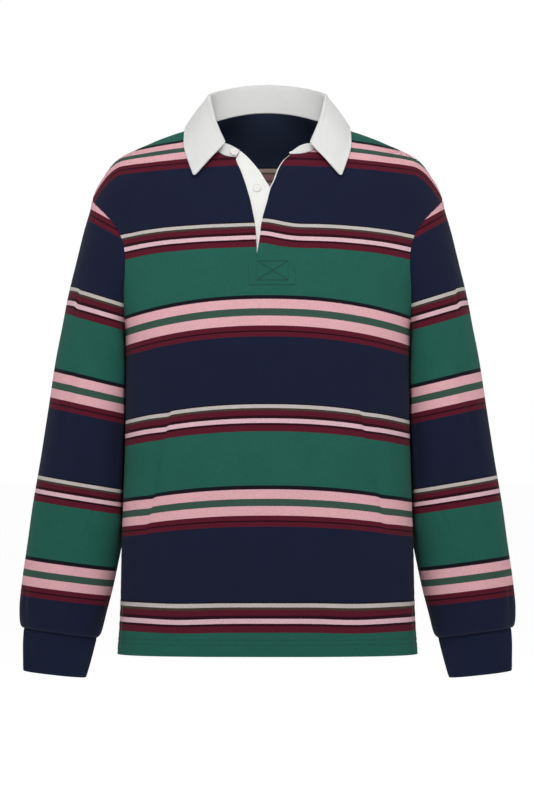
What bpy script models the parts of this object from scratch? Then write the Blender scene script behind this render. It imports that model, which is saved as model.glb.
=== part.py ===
# A striped rugby shirt with a polo collar, filled out as if worn and hollow inside.
# Metres, +Z up, the front faces -Y. The origin is where the wearer's neck base carries it.
# The wearer's left is at +X. Run with: blender --background --python part.py

from collections import namedtuple
import math

import bpy
import numpy as np

# Driving sizes
hem_height = -0.7015
hem_side_rise = -0.0005
cloth = 0.0016
collar_cloth = 0.0020
facing_cloth = 0.0011
seam_gap = 0.0003
layer_gap = 0.00035
collar_seam_gap = 0.0009
facing_show = 0.0022
facing_width = 0.030
underlap_tuck = 0.008

vent_top = -0.632
vent_spread = 0.0022

underarm_height = -0.275
shoulder_point_height = -0.087

neck_side_height = 0.019
neck_back_height = 0.0347
neck_front_heights = {-1: -0.0310, 1: -0.0270}
neck_scoop = 2.5
neck_scoop_growth = 1.5
shoulder_row_lift = 0.004
shoulder_row_power = 1.25

slit_bottom_x = -0.0146
slit_bottom_height = -0.171
placket_end_height = -0.199

roll_radius = 0.0032
collar_clearance = 0.0014
collar_clearance_share = 0.5
neck_centre_y = 0.004
fall_bend_share = 0.30
fall_bend_out = 0.002
fall_bulge = 0.003

sleeve_clearance = 0.0022
sleeve_softness = 0.0016
clearance_share = 0.12
armhole_blend_share = 0.22
fold_back_limit = 0.6

underlap_left_top = -0.0345
underlap_right_top = -0.0205
underlap_skew = 1.1
underlap_margin = 0.001
tuck_share = 0.1
facing_top = -0.0266

button_radius = 0.0056
button_thickness = 0.0024
button_lift = 0.0005
button_sides = 16
button_dish = 0.80
button_seat_share = 0.3
lower_button_place = (-0.0142, -0.0729)
upper_button_column = 1
upper_button_row = 1

crease_angle = math.radians(50)
probe_step = 0.0005

# How many rows and columns of faces each grid has
side_rows = 14
armhole_rows_below_slit = 5
armhole_rows_above_slit = 6
shoulder_rows = 6
half_columns = 10
sleeve_rings = 18
cuff_rings = 4
stand_rows = 3
roll_rows = 4
fall_rows = 5
leaf_end_column = 5
placket_rows = 12
underlap_columns = 5
facing_columns = 4

# Rings lie closer together near the armhole. Folds fade out towards side seams and the neck.
ring_crowding = 1.15
edge_fade_power = 6
neck_fade_rows = 2

armhole_rows = armhole_rows_below_slit + armhole_rows_above_slit
body_rows = side_rows + armhole_rows + shoulder_rows
sleeve_sides = 2 * armhole_rows

# Level sections of the body. Half width runs to the side seam, and above the underarm to where the
# shoulder would end. Depths run forward and back from side_y. Fullness is the superellipse power.
Section = namedtuple("Section", "height half_width side_y front_depth back_depth fullness")
body_sections = (
    Section(-0.7030, 0.2035, -0.008, 0.104, 0.112, 2.30),
    Section(-0.6400, 0.2000, -0.008, 0.106, 0.113, 2.30),
    Section(-0.5530, 0.1980, -0.009, 0.109, 0.114, 2.30),
    Section(-0.4800, 0.1954, -0.010, 0.111, 0.115, 2.25),
    Section(-0.3600, 0.1925, -0.010, 0.115, 0.118, 2.20),
    Section(-0.2750, 0.1930, -0.009, 0.118, 0.122, 2.20),
    Section(-0.2000, 0.2110, -0.005, 0.117, 0.124, 2.20),
    Section(-0.1420, 0.2250, -0.001, 0.112, 0.120, 2.20),
    Section(-0.0870, 0.2378, 0.003, 0.101, 0.106, 2.18),
    Section(-0.0716, 0.2329, 0.004, 0.096, 0.101, 2.16),
    Section(-0.0554, 0.2234, 0.005, 0.089, 0.096, 2.15),
    Section(-0.0310, 0.2040, 0.006, 0.074, 0.086, 2.15),
    Section(-0.0149, 0.1730, 0.007, 0.060, 0.076, 2.15),
    Section(0.0013, 0.1335, 0.007, 0.042, 0.067, 2.10),
    Section(0.0190, 0.0790, 0.007, 0.022, 0.0575, 2.10),
    Section(0.0300, 0.0560, 0.007, 0.010, 0.0520, 2.10),
    Section(0.0400, 0.0400, 0.007, 0.006, 0.0480, 2.10),
)

# Edges of the opened front, from the neck down, as seen from the front
SlitEdge = namedtuple("SlitEdge", "height right_front left_front underlap")
slit_edges = (
    SlitEdge(-0.0149, -0.0439, 0.0400, -0.0439),
    SlitEdge(-0.0270, -0.0439, 0.0312, -0.0292),
    SlitEdge(-0.0338, -0.0430, 0.0236, -0.0228),
    SlitEdge(-0.0473, -0.0374, 0.0155, -0.0118),
    SlitEdge(-0.0621, -0.0320, 0.0101, -0.0025),
    SlitEdge(-0.0736, -0.0283, 0.0047, 0.0042),
    SlitEdge(-0.0918, -0.0232, 0.0000, 0.0090),
    SlitEdge(-0.1080, -0.0199, -0.0047, 0.0110),
    SlitEdge(-0.1215, -0.0174, -0.0078, 0.0120),
    SlitEdge(-0.1404, -0.0157, -0.0099, 0.0128),
    SlitEdge(-0.1560, -0.0152, -0.0124, 0.0130),
    SlitEdge(-0.1710, -0.0146, -0.0146, 0.0130),
    SlitEdge(-0.2100, -0.0146, -0.0146, 0.0130),
)

# Soft folds of the body: a trough from its top to its bottom, its half width and its depth
Fold = namedtuple("Fold", "top_x top_z bottom_x bottom_z half_width depth")
front_folds = (
    Fold(-0.150, -0.370, -0.164, -0.570, 0.015, 0.0034),
    Fold(0.141, -0.350, 0.156, -0.560, 0.016, 0.0030),
    Fold(-0.116, -0.230, -0.134, -0.430, 0.014, 0.0022),
    Fold(0.112, -0.240, 0.130, -0.420, 0.013, 0.0024),
    Fold(-0.187, -0.058, -0.183, -0.160, 0.008, 0.0030),
    Fold(0.188, -0.060, 0.183, -0.155, 0.008, 0.0028),
    Fold(0.0406, -0.0480, 0.0190, -0.0760, 0.0045, 0.0018),
)
back_folds = (
    Fold(-0.140, -0.200, -0.158, -0.480, 0.017, 0.0034),
    Fold(0.136, -0.230, 0.152, -0.520, 0.016, 0.0030),
    Fold(-0.052, -0.300, -0.060, -0.620, 0.018, 0.0022),
    Fold(0.064, -0.260, 0.058, -0.560, 0.017, 0.0024),
    Fold(-0.180, -0.070, -0.178, -0.190, 0.010, 0.0028),
    Fold(0.181, -0.075, 0.177, -0.180, 0.010, 0.0026),
)

# Sleeve sections, from the armhole to the cuff seam, for the side at +X. Each lies in the plane
# through its outer and inner points and the depth direction.
Ring = namedtuple("Ring", "outer_x outer_z inner_x inner_z middle_y half_depth fullness")
sleeve_sections = (
    Ring(0.2378, -0.0870, 0.1930, -0.2750, 0.004, 0.070, 2.2),
    Ring(0.2439, -0.1080, 0.1930, -0.2830, 0.008, 0.072, 2.2),
    Ring(0.2560, -0.1525, 0.1880, -0.2980, 0.014, 0.072, 2.2),
    Ring(0.2714, -0.2170, 0.1820, -0.3250, 0.021, 0.071, 2.2),
    Ring(0.2824, -0.2710, 0.1800, -0.3550, 0.026, 0.069, 2.2),
    Ring(0.2941, -0.3360, 0.1790, -0.3960, 0.029, 0.067, 2.2),
    Ring(0.3038, -0.4010, 0.1800, -0.4430, 0.029, 0.064, 2.2),
    Ring(0.3147, -0.4660, 0.1841, -0.4920, 0.026, 0.061, 2.2),
    Ring(0.3243, -0.5305, 0.1960, -0.5480, 0.020, 0.057, 2.2),
    Ring(0.3326, -0.5950, 0.2102, -0.6110, 0.012, 0.053, 2.25),
    Ring(0.3373, -0.6370, 0.2202, -0.6520, 0.006, 0.049, 2.3),
    Ring(0.3358, -0.6630, 0.2280, -0.6780, 0.003, 0.0445, 2.3),
    Ring(0.3314, -0.6672, 0.2322, -0.6812, 0.002, 0.039, 2.3),
)
cuff_sections = (
    Ring(0.3312, -0.6672, 0.2322, -0.6812, 0.002, 0.039, 2.3),
    Ring(0.3322, -0.6930, 0.2378, -0.7040, 0.000, 0.037, 2.3),
    Ring(0.3320, -0.7250, 0.2465, -0.7345, -0.003, 0.034, 2.3),
)

# Soft folds of a sleeve: angle round it from its outer side towards the front, where it starts and
# ends along the sleeve, its half width and depth
SleeveFold = namedtuple("SleeveFold", "start_angle end_angle start end half_angle depth")
sleeve_folds = (
    SleeveFold(1.05, 0.95, 0.20, 0.62, 0.16, 0.0030),
    SleeveFold(1.75, 1.45, 0.42, 0.72, 0.15, 0.0026),
    SleeveFold(-1.20, -1.05, 0.16, 0.60, 0.17, 0.0030),
    SleeveFold(-1.90, -1.60, 0.50, 0.86, 0.16, 0.0024),
    SleeveFold(0.45, 0.60, 0.70, 0.93, 0.13, 0.0020),
)

# How each side of the armhole bows off the side seam's line: its depth, how round it is, and how far
# its deepest place lies towards the shoulder
Armhole = namedtuple("Armhole", "depth roundness skew")
armholes = {
    -1: Armhole(0.0620, 1.2, 1.3),
    1: Armhole(0.0600, 0.8, 1.0),
}

# The collar round the neck. Round is 0 at the back, 1 at the shoulder seam and 2 at the front end.
# Roll is the fold's highest line and edge is the free edge of the fall, which hangs from soft (0) to
# straight (1).
Station = namedtuple("Station", "round roll_x roll_y roll_z edge_x edge_y edge_z straightness")
collar_stations = (
    Station(0.00, 0.0000, 0.0660, 0.0755, 0.0000, 0.0820, 0.0105, 0.0),
    Station(0.35, 0.0310, 0.0615, 0.0735, 0.0420, 0.0765, 0.0105, 0.1),
    Station(0.70, 0.0600, 0.0410, 0.0670, 0.0840, 0.0540, 0.0120, 0.6),
    Station(1.00, 0.0765, 0.0060, 0.0560, 0.1120, 0.0080, 0.0135, 1.0),
    Station(1.25, 0.0712, -0.0300, 0.0300, 0.1130, -0.0380, -0.0110, 1.0),
    Station(1.50, 0.0562, -0.0590, -0.0092, 0.0995, -0.0850, -0.0567, 1.0),
)

# The stand past the leaves: where its top ends, and how far that top bows up on the way
StandEnd = namedtuple("StandEnd", "x y z bow")
stand_ends = {
    -1: StandEnd(-0.0370, -0.0545, -0.0200, 0.0012),
    1: StandEnd(0.0300, -0.0575, -0.0234, 0.0036),
}

# A button's outline, from its underside over the rim, as shares of its radius and thickness
button_profile = ((0.80, 0.0), (1.0, 0.30), (1.0, 0.70), (0.86, 1.0), (0.70, button_dish))

# Colour and roughness of each cloth and of the buttons
Finish = namedtuple("Finish", "red green blue roughness")
finishes = {
    "jersey": Finish(0.012, 0.017, 0.040, 0.85),
    "rib": Finish(0.011, 0.015, 0.034, 0.85),
    "twill": Finish(0.76, 0.75, 0.72, 0.80),
    "resin": Finish(0.80, 0.79, 0.76, 0.40),
}


def spread(start, end, share):
    return start + (end - start) * share


def slopes_of(at, values):
    # Slopes that keep a curve through these values free of overshoot
    steps = np.diff(at)
    rises = np.diff(values) / steps
    slopes = np.empty(len(at))
    slopes[0] = rises[0]
    slopes[-1] = rises[-1]
    for i in range(1, len(at) - 1):
        before, after = rises[i - 1], rises[i]
        if before * after <= 0:
            slopes[i] = 0
            continue
        near = 2 * steps[i] + steps[i - 1]
        far = steps[i] + 2 * steps[i - 1]
        slopes[i] = (near + far) / (near / before + far / after)
    return slopes


class Table:
    # A smooth curve through each column of a short table, read by its first column
    def __init__(self, rows):
        ordered = sorted(rows, key=lambda row: row[0])
        self.at = np.array([row[0] for row in ordered], float)
        self.columns = {}
        for name in rows[0]._fields[1:]:
            values = np.array([getattr(row, name) for row in ordered], float)
            self.columns[name] = (values, slopes_of(self.at, values))

    def read(self, name, where):
        values, slopes = self.columns[name]
        where = min(max(where, self.at[0]), self.at[-1])
        i = min(int(np.searchsorted(self.at, where, side="right")) - 1, len(self.at) - 2)
        step = self.at[i + 1] - self.at[i]
        t = (where - self.at[i]) / step
        rise = t * t * (3 - 2 * t)
        start = t * (1 - t) ** 2 * step
        end = -t * t * (1 - t) * step
        return spread(values[i], values[i + 1], rise) + slopes[i] * start + slopes[i + 1] * end


body = Table(body_sections)
slit = Table(slit_edges)
collar_table = Table(collar_stations)


def with_index(rows, name):
    Numbered = namedtuple(name, ("index",) + rows[0]._fields)
    return Table([Numbered(i / (len(rows) - 1), *row) for i, row in enumerate(rows)])


sleeve_table = with_index(sleeve_sections, "NumberedRing")
cuff_table = with_index(cuff_sections, "NumberedCuffRing")


def unit(vector):
    return np.asarray(vector, float) / max(np.linalg.norm(vector), 1e-12)


def smoothstep(t):
    t = min(max(t, 0.0), 1.0)
    return t * t * (3 - 2 * t)


# The body surface
def body_level(point):
    # 0 on the body surface, growing outwards
    x, y, z = point
    power = body.read("fullness", z)
    offset = y - body.read("side_y", z)
    depth = body.read("front_depth" if offset < 0 else "back_depth", z)
    across = abs(x) / body.read("half_width", z)
    return (across**power + (abs(offset) / depth) ** power) ** (1 / power) - 1


def body_gradient(point):
    gradient = np.zeros(3)
    for axis in range(3):
        ahead, behind = np.array(point, float), np.array(point, float)
        ahead[axis] += probe_step
        behind[axis] -= probe_step
        gradient[axis] = (body_level(ahead) - body_level(behind)) / (2 * probe_step)
    return gradient


def body_normal(point):
    return unit(body_gradient(point))


def body_distance(point):
    return body_level(point) / np.linalg.norm(body_gradient(point))


def body_y(x, z, side):
    # Depth of the front (side -1) or back (side 1) at this place of the front view
    power = body.read("fullness", z)
    across = min(abs(x) / body.read("half_width", z), 1.0)
    depth = body.read("front_depth" if side < 0 else "back_depth", z)
    return body.read("side_y", z) + side * depth * (1 - across**power) ** (1 / power)


def body_x(y, z):
    # Half width at this depth and height
    power = body.read("fullness", z)
    offset = y - body.read("side_y", z)
    depth = body.read("front_depth" if offset < 0 else "back_depth", z)
    share = min(abs(offset) / depth, 1.0)
    return body.read("half_width", z) * (1 - share**power) ** (1 / power)


def trough(away, along):
    # Depth share of a soft fold, this many half widths off its middle and this far along it
    if not 0 < along < 1:
        return 0.0
    return math.exp(-(away**2)) * math.sin(math.pi * along) ** 2


def fold_depth(folds, x, z):
    total = 0.0
    for fold in folds:
        along = (fold.top_z - z) / (fold.top_z - fold.bottom_z)
        middle = spread(fold.top_x, fold.bottom_x, along)
        total += fold.depth * trough((x - middle) / fold.half_width, along)
    return total


# The seams that pieces share
def armhole_point(row, side):
    # Row 0 is the underarm and the last row is the shoulder point, along the front or the back
    angle = math.pi * row / armhole_rows
    middle = (underarm_height + shoulder_point_height) / 2
    half = (shoulder_point_height - underarm_height) / 2
    z = middle - half * math.cos(angle)
    hole = armholes[side]
    bow = max(math.sin(math.pi * (row / armhole_rows) ** hole.skew), 0.0) ** hole.roundness
    y = body.read("side_y", z) + side * hole.depth * bow
    return np.array([body_x(y, z), y, z])


def shoulder_point(share):
    # Along the shoulder seam, from the shoulder point (0) to the neck (1)
    z = shoulder_point_height + (neck_side_height - shoulder_point_height) * share**shoulder_row_power
    return np.array([body.read("half_width", z), body.read("side_y", z), z])


def edge_point(row, side):
    # The outer edge of the front or back at +X: side seam, armhole, then shoulder seam
    if row <= side_rows:
        share = row / side_rows
        bottom = hem_height + hem_side_rise
        z = bottom + (underarm_height - bottom) * share
        return np.array([body.read("half_width", z), body.read("side_y", z), z])
    if row <= side_rows + armhole_rows:
        return armhole_point(row - side_rows, side)
    return shoulder_point((row - side_rows - armhole_rows) / shoulder_rows)


shoulder_row_height = shoulder_point_height + shoulder_row_lift


def centre_height(row, top):
    # Height of each row at the middle of the front or back
    if row <= side_rows:
        return spread(hem_height, underarm_height, row / side_rows)
    row -= side_rows
    if row <= armhole_rows_below_slit:
        return spread(underarm_height, slit_bottom_height, row / armhole_rows_below_slit)
    row -= armhole_rows_below_slit
    if row <= armhole_rows_above_slit:
        return spread(slit_bottom_height, shoulder_row_height, row / armhole_rows_above_slit)
    row -= armhole_rows_above_slit
    return spread(shoulder_row_height, top, row / shoulder_rows)


def neck_power(row):
    # How far the rows under the neckline dip towards the front
    above = max(row - side_rows - armhole_rows, 0) / shoulder_rows
    return 1 + (neck_scoop - 1) * above**neck_scoop_growth


def front_point(row, column, half):
    # Half -1 is the wearer's right, 1 the left. Column 0 is the middle or the slit's edge.
    edge = edge_point(row, -1)
    edge[0] *= half
    if column == half_columns:
        return edge
    z = centre_height(row, neck_front_heights[half])
    x = slit_bottom_x
    if z > slit_bottom_height:
        x = slit.read("right_front" if half < 0 else "left_front", z)
    share = column / half_columns
    across = math.sin(math.pi / 2 * share)
    down = share ** neck_power(row) if row > side_rows + armhole_rows else across
    x = spread(x, edge[0], across)
    z = spread(z, edge[2], down)
    return np.array([x, body_y(x, z, -1), z])


def back_point(row, column):
    edge = edge_point(row, 1)
    edge[0] *= -1 if column < 0 else 1
    if abs(column) == half_columns:
        return edge
    across = math.sin(math.pi / 2 * abs(column) / half_columns)
    x = edge[0] * across
    z = spread(centre_height(row, neck_back_height), edge[2], across**2)
    return np.array([x, body_y(x, z, 1), z])


def vent_shift(z):
    return vent_spread * smoothstep((vent_top - z) / (vent_top - hem_height))


# Building one closed wall
def finish(name):
    look = finishes[name]
    material = bpy.data.materials.new(name)
    material.use_nodes = True
    shader = material.node_tree.nodes["Principled BSDF"]
    shader.inputs["Base Color"].default_value = (look.red, look.green, look.blue, 1)
    shader.inputs["Roughness"].default_value = look.roughness
    shader.inputs["Metallic"].default_value = 0
    return material


def signed_volume(points, faces):
    corners = points[np.array(faces)]
    return np.einsum("ij,ij->i", corners[:, 0], np.cross(corners[:, 1], corners[:, 2])).sum() / 6


def add_object(name, points, faces, material):
    points = np.array(points)
    if signed_volume(points, faces) < 0:
        faces = [face[::-1] for face in faces]
    mesh = bpy.data.meshes.new(name)
    mesh.from_pydata([tuple(p) for p in points], [], faces)
    mesh.materials.append(material)
    mesh.shade_smooth()
    mesh.set_sharp_from_angle(angle=crease_angle)
    thing = bpy.data.objects.new(name, mesh)
    bpy.context.scene.collection.objects.link(thing)
    return thing


def wall(name, visible, hidden, quads, material):
    # Two skins with the same faces, joined by a rim round every open edge
    count = len(visible)
    triangles = []
    for a, b, c, d in quads:
        triangles += [(a, b, c), (a, c, d)]
    edges = set()
    for a, b, c in triangles:
        edges |= {(a, b), (b, c), (c, a)}
    faces = list(triangles)
    faces += [(c + count, b + count, a + count) for a, b, c in triangles]
    for a, b in edges:
        if (b, a) not in edges:
            faces += [(b, a, a + count), (b, a + count, b + count)]
    return add_object(name, np.vstack([visible, hidden]), faces, material)


def grid_quads(rows, columns, wrap=False):
    across = columns if wrap else columns - 1
    quads = []
    for i in range(rows - 1):
        for j in range(across):
            k = (j + 1) % columns
            low, high = i * columns, (i + 1) * columns
            quads.append((low + j, low + k, high + k, high + j))
    return quads


def grid_normals(points, wrap=False):
    # Unit normals of a grid shaped rows x columns x 3
    down = np.gradient(points, axis=0)
    if wrap:
        across = np.roll(points, -1, axis=1) - np.roll(points, 1, axis=1)
    else:
        across = np.gradient(points, axis=1)
    normals = np.cross(across, down)
    return normals / np.maximum(np.linalg.norm(normals, axis=2, keepdims=True), 1e-12)


# Front and back
def seam_pull(point, row, at_edge, side):
    # Half the seam's gap, and the vent's spread, taken off the edge that front and back share
    if not at_edge:
        return point
    moved = np.array(point)
    if row <= side_rows or row >= side_rows + armhole_rows:
        moved[1] += side * (seam_gap / 2 + vent_shift(point[2]))
    return moved


def panel_skins(point, row, share, folds, side):
    # The outer and inner places of one grid point of a panel, with its folds and its share of the seams
    neck_fade = smoothstep((row - body_rows + neck_fade_rows) / neck_fade_rows)
    fade = (1 - share**edge_fade_power) * (1 - neck_fade)
    normal = body_normal(point)
    skin = point - normal * fold_depth(folds, point[0], point[2]) * fade
    inside = skin - normal * cloth
    return [seam_pull(place, row, share == 1, side) for place in (skin, inside)]


def make_front(material):
    # The two halves share their middle line below the slit
    skins, quads, index = [], [], {}
    slit_row = side_rows + armhole_rows_below_slit

    def place(row, column, half):
        key = (row, column * half)
        if column == 0 and row > slit_row:
            key = (row, "slit", half)
        if key not in index:
            index[key] = len(skins)
            point = front_point(row, column, half)
            skins.append(panel_skins(point, row, column / half_columns, front_folds, -1))
        return index[key]

    for row in range(body_rows):
        for half in (-1, 1):
            for column in range(half_columns):
                quad = [place(row, column, half), place(row, column + 1, half)]
                quad += [place(row + 1, column + 1, half), place(row + 1, column, half)]
                quads.append(tuple(quad) if half > 0 else tuple(quad[::-1]))
    return wall("front", [skin[0] for skin in skins], [skin[1] for skin in skins], quads, material)


def make_back(material):
    skins = []
    for row in range(body_rows + 1):
        for column in range(-half_columns, half_columns + 1):
            point = back_point(row, column)
            skins.append(panel_skins(point, row, abs(column) / half_columns, back_folds, 1))
    quads = grid_quads(body_rows + 1, 2 * half_columns + 1)
    return wall("back", [skin[0] for skin in skins], [skin[1] for skin in skins], quads, material)


# Sleeves and cuffs
def ring_point(table, along, angle):
    # Angle 0 is the outer side, a quarter turn is the front
    ring = Ring(*[table.read(name, along) for name in Ring._fields])
    outer = np.array([ring.outer_x, 0, ring.outer_z])
    inner = np.array([ring.inner_x, 0, ring.inner_z])
    power = 2 / ring.fullness
    out = math.copysign(abs(math.cos(angle)) ** power, math.cos(angle))
    forward = math.copysign(abs(math.sin(angle)) ** power, math.sin(angle))
    depth = np.array([0, ring.middle_y - ring.half_depth * forward, 0])
    return spread(inner, outer, (1 + out) / 2) + depth


def armhole_loop():
    # From the shoulder point down the front to the underarm and up the back
    front = [armhole_point(armhole_rows - i, -1) for i in range(armhole_rows)]
    back = [armhole_point(i, 1) for i in range(armhole_rows)]
    return np.array(front + back)


def pushed_off_body(point, clearance):
    # Keeps the sleeve's inner side just clear of the body's side
    limit = body_x(point[1], point[2]) + clearance
    over = (point[0] - limit) / sleeve_softness
    eased = over if over > 30 else math.log1p(math.exp(over))
    return np.array([limit + sleeve_softness * eased, point[1], point[2]])


def sleeve_fold_depth(along, angle):
    total = 0.0
    for fold in sleeve_folds:
        share = (along - fold.start) / (fold.end - fold.start)
        middle = spread(fold.start_angle, fold.end_angle, share)
        away = (angle - middle + math.pi) % (2 * math.pi) - math.pi
        total += fold.depth * trough(away / fold.half_angle, share)
    return total


def sleeve_along(ring):
    return (ring / sleeve_rings) ** ring_crowding


sleeve_angles = [2 * math.pi * k / sleeve_sides for k in range(sleeve_sides)]


def sleeve_ring(ring, loop):
    along = sleeve_along(ring)
    near_armhole = 1 - smoothstep(along / armhole_blend_share)
    points = []
    for angle, seam in zip(sleeve_angles, loop):
        plain = ring_point(sleeve_table, along, angle)
        point = plain + near_armhole * (seam - ring_point(sleeve_table, 0, angle))
        if ring and point[2] < shoulder_point_height:
            clearance = sleeve_clearance * smoothstep(along / clearance_share)
            point = pushed_off_body(point, clearance)
        points.append(point)
    return points


def armhole_gap(loop, first_ring):
    # Moves the sleeve's top edge off the body's edge, outwards where the sleeve folds back over the side
    moves = []
    for k in range(sleeve_sides):
        normal = body_normal(loop[k])
        away = unit(np.cross(normal, loop[(k + 1) % sleeve_sides] - loop[k - 1]))
        along_sleeve = unit(first_ring[k] - loop[k])
        folded_back = min(max(1 - away @ along_sleeve / fold_back_limit, 0), 1)
        moves.append((away + normal * folded_back) * layer_gap)
    return np.array(moves)


def tube_normals(grid):
    normals = grid_normals(grid, wrap=True)
    return normals * np.sign(normals[:, 0, 0].sum())


def tube_wall(name, grid, normals, side, material):
    mirror = np.array([side, 1, 1])
    visible = (grid * mirror).reshape(-1, 3)
    hidden = ((grid - normals * cloth) * mirror).reshape(-1, 3)
    return wall(name, visible, hidden, grid_quads(len(grid), sleeve_sides, wrap=True), material)


def make_sleeve(name, side, material):
    loop = armhole_loop()
    grid = np.array([sleeve_ring(i, loop) for i in range(sleeve_rings + 1)])
    grid[0] = loop + armhole_gap(loop, grid[1])
    normals = tube_normals(grid)
    for i in range(1, sleeve_rings):
        for k, angle in enumerate(sleeve_angles):
            grid[i, k] -= normals[i, k] * sleeve_fold_depth(sleeve_along(i), angle)
    return tube_wall(name, grid, normals, side, material)


def make_cuff(name, side, material):
    rings = [i / cuff_rings for i in range(cuff_rings + 1)]
    grid = np.array([[ring_point(cuff_table, along, angle) for angle in sleeve_angles] for along in rings])
    down = grid[1] - grid[0]
    grid[0] += layer_gap * down / np.linalg.norm(down, axis=1, keepdims=True)
    return tube_wall(name, grid, tube_normals(grid), side, material)


# Collar
def neckline_point(column):
    # Columns run from the wearer's right front end round the back to the left front end
    if column < half_columns:
        return front_point(body_rows, column, -1)
    if column <= 3 * half_columns:
        return back_point(body_rows, column - 2 * half_columns)
    return front_point(body_rows, 4 * half_columns - column, 1)


def round_neck(column):
    # 0 at the back, 1 at the shoulder seams, 2 at the front ends
    return abs(column - 2 * half_columns) / half_columns


def collar_line(name, at, half):
    # A place on the roll or on the free edge
    place = [collar_table.read(f"{name}_{axis}", at) for axis in "xyz"]
    return np.array([half * place[0], place[1], place[2]])


def collar_column(column):
    # Points across the collar, from the neck seam up the stand, over the roll and down the fall
    half = -1 if column < 2 * half_columns else 1
    seam = neckline_point(column)
    normal = body_normal(seam)
    inwards = unit(np.array([-seam[0], neck_centre_y - seam[1], 0]))
    upwards = unit(np.cross(normal, np.cross(inwards + np.array([0, 0, 1]), normal)))
    seam = seam + upwards * collar_seam_gap + inwards * collar_cloth
    round_at = round_neck(column)
    leaf_end = 2 - leaf_end_column / half_columns
    roll = collar_line("roll", min(round_at, leaf_end), half)
    edge = collar_line("edge", min(round_at, leaf_end), half)
    if round_at > leaf_end:
        end = stand_ends[half]
        share = (round_at - leaf_end) / (2 - leaf_end)
        roll = spread(roll, np.array([end.x, end.y, end.z]), share)
        roll[2] += end.bow * math.sin(math.pi * share)
    up = unit(roll - seam)
    out = unit((edge - seam) - up * ((edge - seam) @ up))
    stand_top = roll - up * roll_radius
    points = [spread(seam, stand_top, i / stand_rows) for i in range(stand_rows + 1)]
    if round_at > leaf_end + 1e-6:
        return points
    middle = stand_top + out * roll_radius
    for i in range(1, roll_rows + 1):
        turn = math.pi * i / roll_rows
        points.append(middle + roll_radius * (up * math.sin(turn) - out * math.cos(turn)))
    start = points[-1]
    soft_bend = start - up * (np.linalg.norm(edge - start) * fall_bend_share) + out * fall_bend_out
    straight_bend = (start + edge) / 2 + out * fall_bulge
    straightness = collar_table.read("straightness", min(round_at, leaf_end))
    bend = spread(soft_bend, straight_bend, straightness)
    for i in range(1, fall_rows + 1):
        t = i / fall_rows
        point = start * (1 - t) ** 2 + bend * 2 * t * (1 - t) + edge * t * t
        need = collar_cloth + collar_clearance * smoothstep(t / collar_clearance_share)
        lift = need - body_distance(point)
        if lift > 0:
            point = point + body_normal(point) * lift
        points.append(point)
    return points


def make_collar(material):
    columns = 4 * half_columns + 1
    rows = stand_rows + roll_rows + fall_rows + 1
    first_leaf, last_leaf = leaf_end_column, 4 * half_columns - leaf_end_column
    grid = np.full((rows, columns, 3), np.nan)
    for column in range(columns):
        points = collar_column(column)
        grid[: len(points), column] = points
        grid[len(points) :, column] = points[-1]
    # Normals beside the leaf's ends come from the leaf's own faces
    stand = grid_normals(grid[: stand_rows + 1])
    leaf = grid_normals(grid[:, first_leaf : last_leaf + 1])
    normals = np.zeros_like(grid)
    normals[: stand_rows + 1] = stand
    normals[stand_rows + 1 :, first_leaf : last_leaf + 1] = leaf[stand_rows + 1 :]
    normals[stand_rows, first_leaf : last_leaf + 1] = leaf[stand_rows]
    back = 2 * half_columns
    if normals[1, back, 1] > 0:
        normals = -normals
    quads = []
    for quad in grid_quads(rows, columns):
        i, j = divmod(quad[0], columns)
        if i < stand_rows or first_leaf <= j < last_leaf:
            quads.append(quad)
    used = sorted({k for quad in quads for k in quad})
    renumbered = {k: i for i, k in enumerate(used)}
    visible = grid.reshape(-1, 3)[used]
    hidden = visible - normals.reshape(-1, 3)[used] * collar_cloth
    quads = [tuple(renumbered[k] for k in quad) for quad in quads]
    return wall("collar", visible, hidden, quads, material)


# Placket
def placket_point(x, z, depth):
    point = np.array([x, body_y(x, z, -1), z])
    return point - body_normal(point) * depth


def underlap_depth(x, left, z):
    # Against the front at its sewn edge, and behind the facing where that covers it
    facing_edge = slit.read("left_front", z) - facing_show - layer_gap * 4
    behind_facing = smoothstep((x - left) / (facing_edge - left))
    return cloth + layer_gap + (facing_cloth + 2 * layer_gap) * behind_facing


def strip_wall(name, grid, material):
    grid = np.array(grid)
    normals = grid_normals(grid)
    normals *= -np.sign(normals[..., 1].sum())
    hidden = grid - normals * facing_cloth
    quads = grid_quads(*grid.shape[:2])
    return wall(name, grid.reshape(-1, 3), hidden.reshape(-1, 3), quads, material)


def make_underlap(material):
    # The white button stand under the wearer's right front, reaching behind the left front
    grid = []
    for i in range(placket_rows + 1):
        share = i / placket_rows
        left_z = spread(underlap_left_top, placket_end_height, share)
        right_z = spread(underlap_right_top, placket_end_height, share**underlap_skew)
        tuck = underlap_tuck * smoothstep(share / tuck_share) + underlap_margin
        left = slit.read("right_front", left_z) - tuck
        right = slit.read("underlap", right_z)
        row = []
        for j in range(underlap_columns + 1):
            x = spread(left, right, j / underlap_columns)
            z = spread(left_z, right_z, j / underlap_columns)
            row.append(placket_point(x, z, underlap_depth(x, left, right_z)))
        grid.append(row)
    return strip_wall("placket_underlap", grid, material)


def make_facing(material):
    # The white facing behind the wearer's left front, showing as a narrow line along its edge
    grid = []
    for i in range(placket_rows + 1):
        z = spread(facing_top, placket_end_height, i / placket_rows)
        left = slit.read("left_front", z) - facing_show
        places = [left + facing_width * j / facing_columns for j in range(facing_columns + 1)]
        grid.append([placket_point(x, z, cloth + layer_gap) for x in places])
    return strip_wall("placket_facing", grid, material)


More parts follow.
